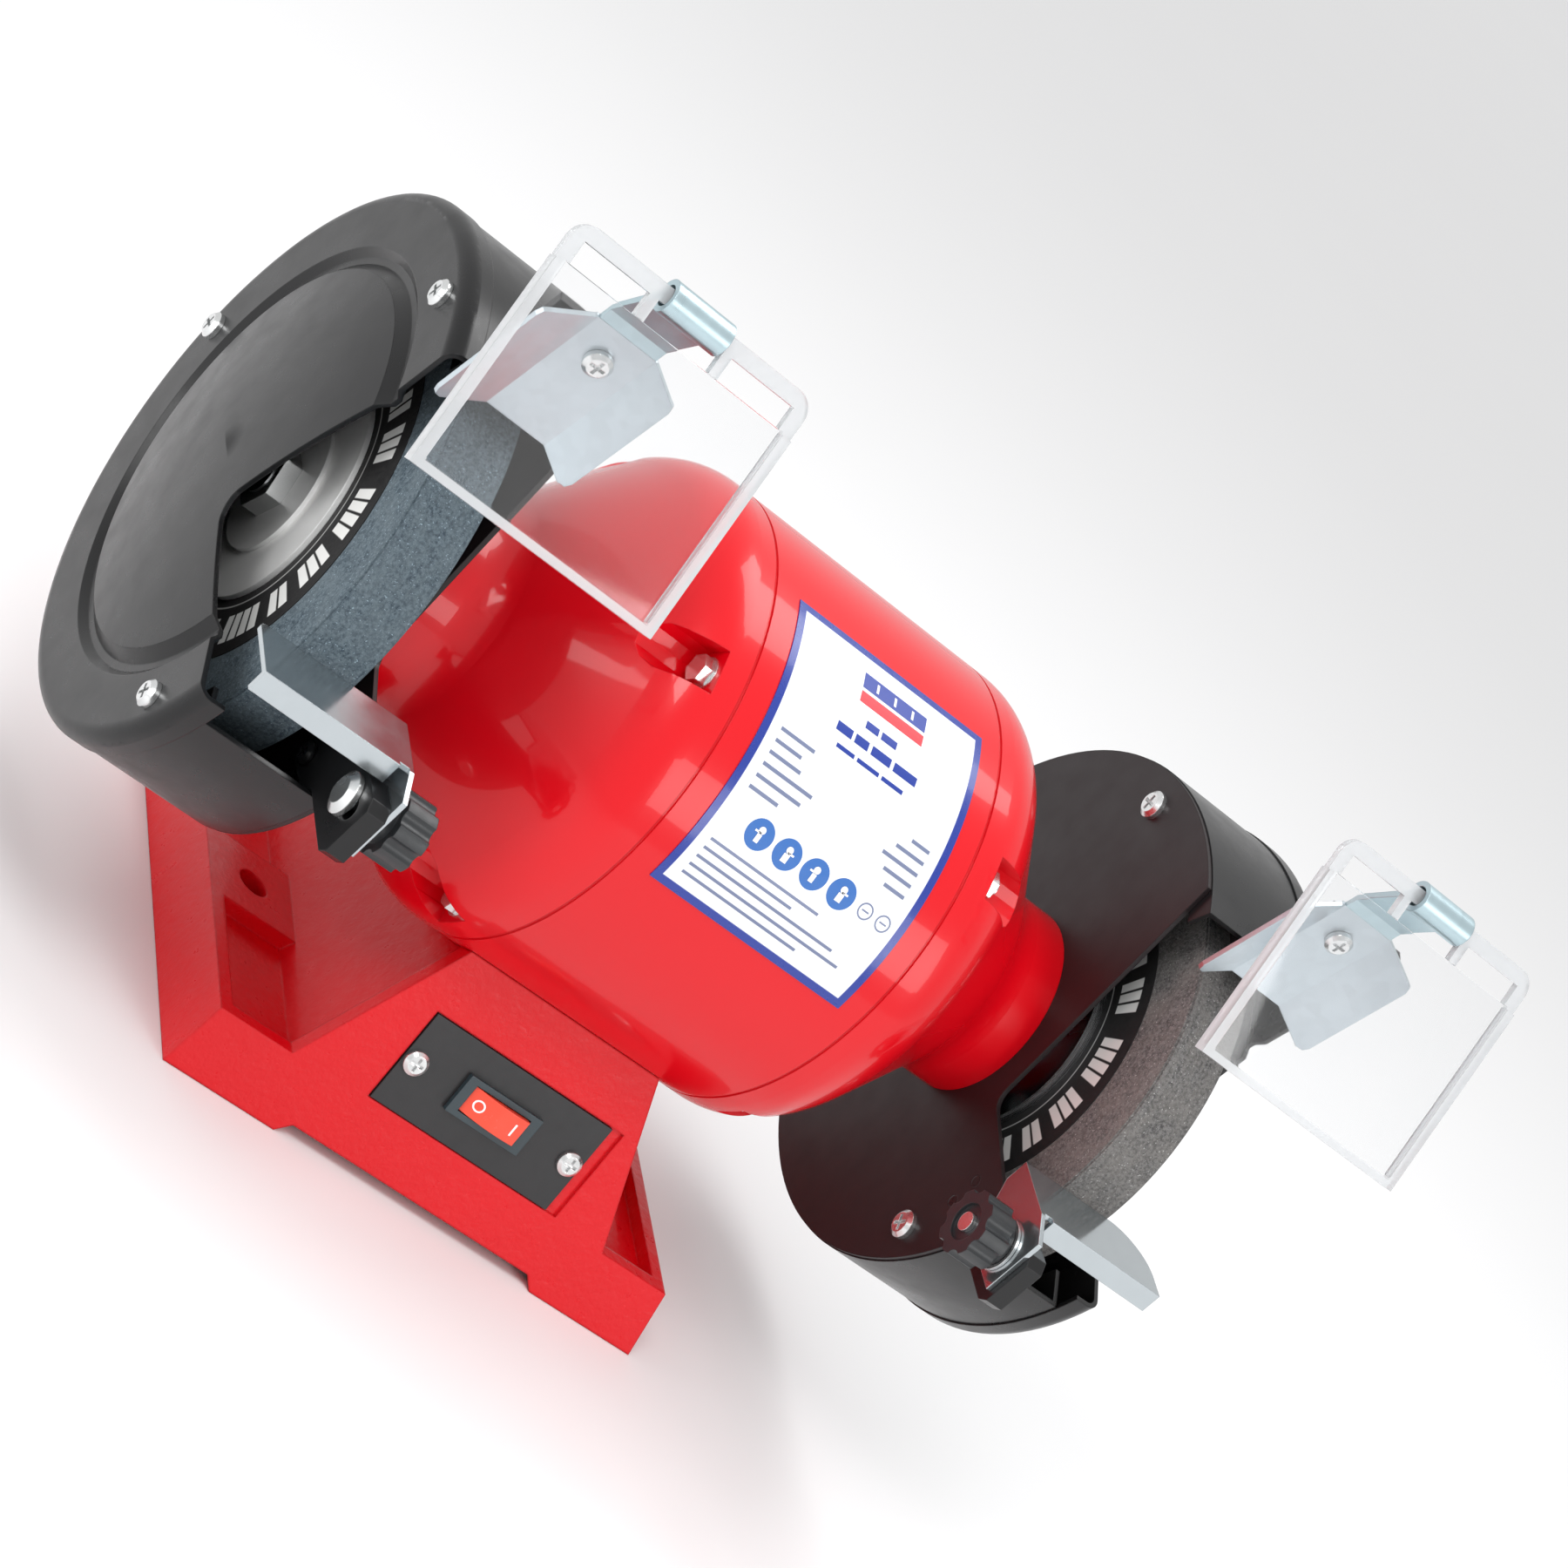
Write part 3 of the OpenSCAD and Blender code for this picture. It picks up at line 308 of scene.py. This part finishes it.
def shaftSide(tree, place):
    # distance from the shaft's axis and the angle round it
    _, shaftY, shaftZ = joints["rotor_spin"]["pos_m"]
    parts = addNode(tree, "ShaderNodeSeparateXYZ", {"Vector": place})
    y = calc(tree, "SUBTRACT", parts.outputs["Y"], shaftY)
    z = calc(tree, "SUBTRACT", parts.outputs["Z"], shaftZ)
    radius = calc(tree, "SQRT", calc(tree, "ADD", calc(tree, "MULTIPLY", y, y), calc(tree, "MULTIPLY", z, z)))
    return radius, calc(tree, "ARCTAN2", z, y), parts.outputs["X"]


def band(tree, value, low, high, soft):
    rise = span(tree, value, low - soft, low + soft, 0.0, 1.0)
    fall = span(tree, value, high - soft, high + soft, 1.0, 0.0)
    return calc(tree, "MULTIPLY", rise, fall)


def wheelPaper():
    # black paper ring with a row of plain printed ticks
    settings = {"ticks": 74, "low": 0.0422, "high": 0.0512, "inner": 0.0385}
    material, tree, shader, place = startMaterial("wheelPaper", Specular_IOR_Level=0.4)
    radius, angle, _ = shaftSide(tree, place)
    turns = calc(tree, "MULTIPLY", angle, settings["ticks"] / (2 * math.pi))
    cell = calc(tree, "FLOOR", turns)
    chance = addNode(tree, "ShaderNodeTexWhiteNoise", {"W": cell}, noise_dimensions="1D").outputs["Value"]
    shown = calc(tree, "GREATER_THAN", chance, 0.28)
    within = band(tree, calc(tree, "FRACT", turns), 0.10, 0.88, 0.04)
    tick = calc(tree, "MULTIPLY", calc(tree, "MULTIPLY", shown, within),
                band(tree, radius, settings["low"], settings["high"], 0.0001))
    line = band(tree, radius, settings["inner"], settings["inner"] + 0.0005, 0.0001)
    fibre = noise(tree, place, 700.0, 4.0)
    ink = blend(tree, fibre, (0.010, 0.010, 0.011), (0.028, 0.027, 0.027))
    print("paper ring pattern made")
    printed = calc(tree, "MAXIMUM", tick, calc(tree, "MULTIPLY", line, 0.5))
    tree.links.new(blend(tree, printed, ink, (0.82, 0.82, 0.80)), shader.inputs["Base Color"])
    tree.links.new(span(tree, fibre, 0.3, 0.7, 0.55, 0.75), shader.inputs["Roughness"])
    bump(tree, shader, fibre, 0.15, 0.0001)
    return material


def labelFilm():
    # white film with a blue border line
    settings = {"border": 0.0026, "blue": (0.010, 0.035, 0.30), "white": (0.86, 0.885, 0.92)}
    material, tree, shader, place = startMaterial("labelFilm", Coat_Weight=0.3, Coat_Roughness=0.08)
    _, angle, x = shaftSide(tree, place)
    low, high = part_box("rating_label")
    middleX, halfX = (low[0] + high[0]) / 2, (high[0] - low[0]) / 2
    across = calc(tree, "ABSOLUTE", calc(tree, "SUBTRACT", x, middleX))
    sideEdge = halfX - settings["border"]
    sideLine = span(tree, across, sideEdge - 0.0001, sideEdge + 0.0001, 0.0, 1.0)
    middleAngle, halfAngle, filmRadius = labelPlace["middle"], labelPlace["half"], labelPlace["radius"]
    around = calc(tree, "ABSOLUTE", calc(tree, "SUBTRACT", angle, middleAngle))
    edge = halfAngle - settings["border"] / filmRadius
    endLine = span(tree, around, edge - 0.0015, edge + 0.0015, 0.0, 1.0)
    ink = calc(tree, "MAXIMUM", sideLine, endLine)
    tree.links.new(blend(tree, ink, settings["white"], settings["blue"]), shader.inputs["Base Color"])
    tree.links.new(span(tree, noise(tree, place, 200.0), 0.3, 0.7, 0.22, 0.32), shader.inputs["Roughness"])
    return material


def windingCopper():
    material, tree, shader, place = startMaterial("windingCopper", Metallic=0.7, Coat_Weight=0.5)
    wires = addNode(tree, "ShaderNodeTexWave", {
        "Vector": place, "Scale": 320.0, "Distortion": 6.0, "Detail": 2.0,
    }, bands_direction="X").outputs["Fac"]
    tree.links.new(blend(tree, wires, (0.20, 0.06, 0.02), (0.62, 0.25, 0.09)), shader.inputs["Base Color"])
    tree.links.new(span(tree, wires, 0.0, 1.0, 0.5, 0.28), shader.inputs["Roughness"])
    bump(tree, shader, wires, 0.6, 0.0006)
    return material


def stackedSteel():
    material, tree, shader, place = startMaterial("stackedSteel", Metallic=0.85)
    waves = addNode(tree, "ShaderNodeTexWave", {"Vector": place, "Scale": 320.0}, bands_direction="X")
    sheets = waves.outputs["Fac"]
    tree.links.new(blend(tree, sheets, (0.13, 0.13, 0.14), (0.34, 0.34, 0.36)), shader.inputs["Base Color"])
    tree.links.new(span(tree, noise(tree, place, 400.0), 0.3, 0.7, 0.4, 0.6), shader.inputs["Roughness"])
    bump(tree, shader, sheets, 0.4, 0.0002)
    return material


def printInk(name, color):
    material, tree, shader, place = startMaterial(name, Specular_IOR_Level=0.4)
    speckle = noise(tree, place, 2500.0, 2.0)
    pale = tuple(min(1.0, c * 1.12 + 0.01) for c in color)
    tree.links.new(blend(tree, speckle, color, pale), shader.inputs["Base Color"])
    tree.links.new(span(tree, speckle, 0.3, 0.7, 0.28, 0.4), shader.inputs["Roughness"])
    return material


labelLow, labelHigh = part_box("rating_label")
shaftPlace = Vector(joints["rotor_spin"]["pos_m"])
# the label's edges lie on the housing, seen from the shaft as angles above the front
bottomAngle = math.atan2(labelLow.z - shaftPlace.z, shaftPlace.y - labelLow.y)
topAngle = math.atan2(labelHigh.z - shaftPlace.z, shaftPlace.y - labelHigh.y)
labelPlace = {
    "middle": math.pi - (bottomAngle + topAngle) / 2,
    "half": (topAngle - bottomAngle) / 2,
    "bottom": bottomAngle,
    "radius": math.hypot(labelHigh.z - shaftPlace.z, shaftPlace.y - labelHigh.y),
}

finishes = {
    "glossRed": glossRed(),
    "castingRed": castingRed(),
    "guardBlack": satinBlack("guardBlack", (0.0095, 0.0095, 0.0102), 0.30, 0.08),
    "plateBlack": satinBlack("plateBlack", (0.016, 0.010, 0.011), 0.46, 0.10),
    "zincSheet": zincSheet("zincSheet", (0.50, 0.555, 0.59), 0.36, (260.0, 14.0, 14.0), 0.4),
    "brightZinc": zincSheet("brightZinc", (0.70, 0.71, 0.71), 0.22, (120.0, 120.0, 120.0), 0.2),
    "restZinc": zincSheet("restZinc", (0.46, 0.50, 0.52), 0.17, (60.0, 60.0, 60.0), 0.12),
    # flangeZinc is a paler, less metallic copy of the zinc: painted highlight, so the outer flanges look
    # bright instead of mirroring the dark cover
    "flangeZinc": zincSheet("flangeZinc", (0.84, 0.84, 0.83), 0.38, (60.0, 60.0, 60.0), 0.1, 0.35),
    "paleZinc": zincSheet("paleZinc", (0.45, 0.57, 0.61), 0.33, (260.0, 14.0, 14.0), 0.3),
    "bareSteel": zincSheet("bareSteel", (0.40, 0.41, 0.42), 0.42, (30.0, 300.0, 300.0), 0.2),
    "turnedSteel": turnedSteel("turnedSteel", (0.66, 0.67, 0.68), 0.24),
    "ballSteel": turnedSteel("ballSteel", (0.60, 0.61, 0.63), 0.18),
    "canAluminium": turnedSteel("canAluminium", (0.72, 0.72, 0.73), 0.34),
    "coarseStone": grindingStone(
        "coarseStone", (0.040, 0.062, 0.082), (0.150, 0.195, 0.225), (0.165, 0.205, 0.228)),
    "fineStone": grindingStone(
        "fineStone", (0.070, 0.068, 0.068), (0.225, 0.220, 0.216), (0.235, 0.220, 0.205)),
    "wheelPaper": wheelPaper(),
    "labelFilm": labelFilm(),
    "blackMoulding": mouldedPlastic("blackMoulding", (0.013, 0.013, 0.014), 0.42),
    "bezelMoulding": mouldedPlastic("bezelMoulding", (0.026, 0.042, 0.050), 0.34),
    "knobMoulding": mouldedPlastic("knobMoulding", (0.018, 0.020, 0.022), 0.36, 0.14),
    "rockerPlastic": mouldedPlastic("rockerPlastic", (0.80, 0.070, 0.035), 0.24, 0.03),
    "terminalPlastic": mouldedPlastic("terminalPlastic", (0.62, 0.58, 0.46), 0.4),
    "clearSheet": clearSheet(),
    "windingCopper": windingCopper(),
    "stackedSteel": stackedSteel(),
    "blueInk": printInk("blueInk", (0.012, 0.040, 0.30)),
    "iconInk": printInk("iconInk", (0.006, 0.115, 0.42)),
    "redInk": printInk("redInk", (0.68, 0.015, 0.030)),
    "greyInk": printInk("greyInk", (0.17, 0.20, 0.32)),
    "whiteInk": printInk("whiteInk", (0.86, 0.86, 0.86)),
}

nodeFinishes = {
    "castingRed": ["base_casting"],
    "glossRed": ["motor_housing", "left_end_bell", "right_end_bell"],
    "guardBlack": ["left_guard_shroud", "right_guard_shroud", "left_guard_cover", "right_guard_cover",
                   "left_rest_bracket", "right_rest_bracket", "bracket_screws", "left_arrester_mount",
                   "right_arrester_mount"],
    "plateBlack": ["left_guard_plate", "right_guard_plate"],
    "restZinc": ["left_tool_rest", "right_tool_rest"],
    "flangeZinc": ["outer_flanges"],
    "zincSheet": ["left_spark_arrester", "right_spark_arrester", "capacitor_clip"],
    "paleZinc": ["left_shield_bracket", "right_shield_bracket"],
    "brightZinc": ["base_plate_screws", "saddle_bolts", "tie_bolts", "tie_nuts", "switch_screws",
                   "guard_mount_screws", "plate_screws", "cover_screws", "left_rest_bolt", "right_rest_bolt",
                   "arrester_screws", "wheel_nuts"],
    "bareSteel": ["base_plate"],
    "turnedSteel": ["shaft", "inner_flanges"],
    "ballSteel": ["bearings"],
    "canAluminium": ["capacitor", "rotor_fan"],
    "coarseStone": ["left_wheel"],
    "fineStone": ["right_wheel"],
    "wheelPaper": ["wheel_labels"],
    "labelFilm": ["rating_label"],
    "blackMoulding": ["switch_plate", "cable_gland"],
    "bezelMoulding": ["switch_body"],
    "knobMoulding": ["left_rest_knob", "right_rest_knob"],
    "rockerPlastic": ["rocker"],
    "terminalPlastic": ["terminal_block"],
    "clearSheet": ["left_eye_shield", "right_eye_shield"],
    "windingCopper": ["stator_windings"],
    "stackedSteel": ["stator_core", "rotor_core"],
}
for finish, names in nodeFinishes.items():
    for name in names:
        nodes[name].data.materials.clear()
        nodes[name].data.materials.append(finishes[finish])
print("finishes given to", sum(len(names) for names in nodeFinishes.values()), "nodes")


# ---------- printed pieces ----------

def placeFlat(piece, matrix):
    piece.matrix_world = matrix
    bpy.context.view_layer.update()


def wrapOnto(piece, target, lift):
    # lay the flat piece on the surface below it, along its own Z
    deselectAll()
    piece.select_set(True)
    bpy.context.view_layer.objects.active = piece
    wrap = piece.modifiers.new("lay", "SHRINKWRAP")
    wrap.target = target
    wrap.wrap_method = "PROJECT"
    wrap.use_project_z = True
    wrap.use_positive_direction = True
    wrap.use_negative_direction = True
    wrap.offset = lift
    bpy.ops.object.modifier_apply(modifier=wrap.name)
    bpy.ops.object.transform_apply(location=True, rotation=True, scale=True)


def addBar(x, y, width, height, cuts):
    bpy.ops.mesh.primitive_plane_add(size=1.0)
    bar = bpy.context.active_object
    bpy.ops.object.mode_set(mode="EDIT")
    bpy.ops.mesh.select_all(action="SELECT")
    bpy.ops.transform.resize(value=(width, height, 1.0))
    bpy.ops.transform.translate(value=(x, y, 0.0))
    if cuts:
        bpy.ops.mesh.subdivide(number_cuts=cuts)
    bpy.ops.object.mode_set(mode="OBJECT")
    return bar


def addDisc(x, y, radius, sides=32, inner=None):
    fill = "TRIFAN" if inner is None else "NOTHING"
    bpy.ops.mesh.primitive_circle_add(vertices=sides, radius=radius, fill_type=fill)
    disc = bpy.context.active_object
    bpy.ops.object.mode_set(mode="EDIT")
    bpy.ops.mesh.select_all(action="SELECT")
    if inner is not None:
        bpy.ops.mesh.extrude_region_move()
        share = inner / radius
        bpy.ops.transform.resize(value=(share, share, 1.0))
        bpy.ops.mesh.select_all(action="SELECT")
        bpy.ops.mesh.normals_make_consistent(inside=False)
    bpy.ops.transform.translate(value=(x, y, 0.0))
    bpy.ops.object.mode_set(mode="OBJECT")
    return disc


def joinPieces(pieces, name):
    deselectAll()
    for piece in pieces:
        piece.select_set(True)
    bpy.context.view_layer.objects.active = pieces[0]
    if len(pieces) > 1:
        bpy.ops.object.join()
    whole = bpy.context.active_object
    whole.name = whole.data.name = name
    return whole


def faceOutwards(piece, normal):
    # flat print must show its front, so any face that looks the other way is turned
    deselectAll()
    piece.select_set(True)
    bpy.context.view_layer.objects.active = piece
    wrong = [face.index for face in piece.data.polygons if face.normal.dot(normal) < 0]
    if wrong:
        bpy.ops.object.mode_set(mode="EDIT")
        bpy.ops.mesh.select_all(action="DESELECT")
        bpy.ops.object.mode_set(mode="OBJECT")
        for index in wrong:
            piece.data.polygons[index].select = True
        bpy.ops.object.mode_set(mode="EDIT")
        bpy.ops.mesh.flip_normals()
        bpy.ops.object.mode_set(mode="OBJECT")


labelPrint = {
    "blueBars": [  # x, height up the label, width, height
        (-2.5, 72.0, 5.0, 2.4), (4.2, 72.0, 6.0, 2.4), (-11.2, 66.2, 6.0, 2.8), (-4.4, 66.2, 5.2, 2.8),
        (3.4, 66.2, 7.6, 2.8), (13.0, 66.2, 9.0, 2.8), (-8.5, 61.0, 7.0, 1.3), (0.5, 61.0, 8.6, 1.3),
        (10.2, 61.0, 8.4, 1.3), (3.0, 84.6, 25.0, 5.2)],
    "redBars": [(3.0, 79.0, 25.0, 3.6)],
    "emblem": [(3.0, 81.4, 25.0, 0.9), (-4.0, 84.6, 0.9, 3.0), (3.0, 84.6, 0.9, 3.0), (10.0, 84.6, 0.9, 3.0)],
    "leftBars": [(-24.0, 55.0, 13.0), (-25.5, 51.3, 10.0), (-24.5, 47.6, 12.0), (-21.0, 43.9, 19.0),
                 (-22.0, 40.2, 17.0), (-25.0, 36.5, 11.0)],
    "rightBars": [(27.5, 51.3, 7.0), (25.5, 47.6, 11.0), (24.0, 43.9, 14.0), (25.5, 40.2, 11.0),
                  (27.0, 36.5, 8.0)],
    "lowBars": [(-9.5, 18.6, 42.0), (-13.5, 15.6, 34.0), (-4.0, 12.6, 53.0), (-1.5, 9.6, 58.0),
                (-8.5, 6.6, 44.0)],
    "icons": [-19.0, -8.2, 2.6, 13.4],
    "iconHeight": 27.2, "iconRadius": 4.7,
    "signs": [23.0, 30.0],
}


def labelMatrix():
    middle = labelPlace["middle"]
    normal = Vector((0.0, math.cos(middle), math.sin(middle)))
    right = Vector((1.0, 0.0, 0.0))
    up = normal.cross(right)
    turn = Matrix((right, up, normal)).transposed().to_4x4()
    return Matrix.Translation(shaftPlace + normal * (labelPlace["radius"] + 0.02)) @ turn, normal


def onLabel(height):
    # a length up the label as a distance on the flat plane over its middle
    angle = labelPlace["bottom"] + height * millimetre / labelPlace["radius"]
    return labelPlace["radius"] * math.sin(angle - (math.pi - labelPlace["middle"]))


def labelBar(x, height, width, tall, cuts=0):
    low, high = onLabel(height - tall / 2), onLabel(height + tall / 2)
    return addBar(x * millimetre, (low + high) / 2, width * millimetre, high - low, cuts)


def finishPrint(pieces, name, ink, lift, slot, target, matrix, normal, body):
    whole = joinPieces(pieces, name)
    placeFlat(whole, matrix)
    wrapOnto(whole, target, lift)
    faceOutwards(whole, normal)
    whole.data.materials.clear()
    whole.data.materials.append(finishes[ink])
    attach(whole, body)
    return whole


def makeLabelPrint(settings):
    matrix, normal = labelMatrix()
    film = nodes["rating_label"]
    common = ("label_film", film, matrix, normal, "frame")

    def finish(pieces, name, ink, lift=0.00008):
        return finishPrint(pieces, name, ink, lift, *common)

    finish([labelBar(*bar, cuts=2) for bar in settings["blueBars"]], "label_title_bars", "blueInk")
    finish([labelBar(*bar, cuts=6) for bar in settings["redBars"]], "label_emblem_red", "redInk")
    finish([labelBar(*bar, cuts=4) for bar in settings["emblem"]], "label_emblem_white", "whiteInk", 0.00016)
    sideBars = settings["leftBars"] + settings["rightBars"]
    grey = [labelBar(x, height, width, 1.1) for x, height, width in sideBars]
    grey += [labelBar(x, height, width, 0.9) for x, height, width in settings["lowBars"]]
    finish(grey, "label_small_lines", "greyInk")
    rise = onLabel(settings["iconHeight"])
    squeeze = onLabel(settings["iconHeight"] + 1.0) - rise
    discs = []
    for x in settings["icons"]:
        disc = addDisc(x * millimetre, 0.0, settings["iconRadius"] * millimetre)
        discs.append(disc)
    icons = joinPieces(discs, "label_icons")
    squeezeIcon(icons, squeeze / millimetre, rise)
    finish([icons], "label_icons", "iconInk")
    marks = []
    for index, x in enumerate(settings["icons"]):
        marks.append(addDisc(x * millimetre, 1.3 * millimetre, 1.15 * millimetre, 20))
        bodyWidth = 1.6 + 0.5 * (index % 2)
        armShift = 0.9 if index % 2 else -0.9
        marks.append(addBar(x * millimetre, -1.2 * millimetre, bodyWidth * millimetre, 2.6 * millimetre, 1))
        armPlace = (x + armShift) * millimetre
        marks.append(addBar(armPlace, 0.5 * millimetre, 2.4 * millimetre, 0.6 * millimetre, 0))
    marks = joinPieces(marks, "label_icon_marks")
    squeezeIcon(marks, squeeze / millimetre, rise)
    finish([marks], "label_icon_marks", "whiteInk", 0.00016)
    signs = []
    for x in settings["signs"]:
        signs.append(addDisc(x * millimetre, 0.0, 2.6 * millimetre, 24, 2.1 * millimetre))
        signs.append(addBar(x * millimetre, 0.0, 2.6 * millimetre, 0.5 * millimetre, 0))
    signs = joinPieces(signs, "label_signs")
    squeezeIcon(signs, squeeze / millimetre, rise)
    finish([signs], "label_signs", "greyInk")


def squeezeIcon(piece, share, rise):
    deselectAll()
    piece.select_set(True)
    bpy.context.view_layer.objects.active = piece
    bpy.ops.object.mode_set(mode="EDIT")
    bpy.ops.mesh.select_all(action="SELECT")
    bpy.ops.transform.resize(value=(1.0, share, 1.0), center_override=(0.0, 0.0, 0.0))
    bpy.ops.transform.translate(value=(0.0, rise, 0.0))
    bpy.ops.object.mode_set(mode="OBJECT")


deselectAll()
makeLabelPrint(labelPrint)
print("label printed")

rockerMarks = {"offset": 6.4, "ring": (1.9, 1.35), "bar": (0.75, 4.0), "lift": 0.00008}


def makeRockerMarks(settings):
    pivot = Vector(joints["rocker_tilt"]["pos_m"])
    up = Vector(joints["rocker_tilt"]["axis"]).normalized()
    right = Vector((1.0, 0.0, 0.0))
    normal = right.cross(up)
    turn = Matrix((right, up, normal)).transposed().to_4x4()
    matrix = Matrix.Translation(pivot + normal * 0.02) @ turn
    offset = settings["offset"] * millimetre
    outer, inner = (radius * millimetre for radius in settings["ring"])
    width, tall = (side * millimetre for side in settings["bar"])
    ring = addDisc(-offset, 0.0, outer, 28, inner)
    bar = addBar(offset, 0.0, width, tall, 1)
    finishPrint([ring, bar], "rocker_marks", "whiteInk", settings["lift"], "rocker_plastic", nodes["rocker"],
                matrix, normal, "rocker_body")


makeRockerMarks(rockerMarks)
print("rocker marked")


# ---------- floor ----------

def makeFloor(settings):
    deselectAll()
    bpy.ops.mesh.primitive_plane_add(size=12.0, location=(0.0, 0.0, -0.0002))
    floor = bpy.context.active_object
    floor.name = "floor"
    bpy.ops.object.transform_apply(location=True, rotation=True, scale=True)
    material, tree, shader, place = startMaterial("paleFloor", Specular_IOR_Level=0.1)
    tone = tuple(c * 0.98 for c in settings["floor"])
    tree.links.new(blend(tree, noise(tree, place, 3.0), settings["floor"], tone), shader.inputs["Base Color"])
    shader.inputs["Roughness"].default_value = 0.9
    floor.data.materials.append(material)


makeFloor(lightSettings)
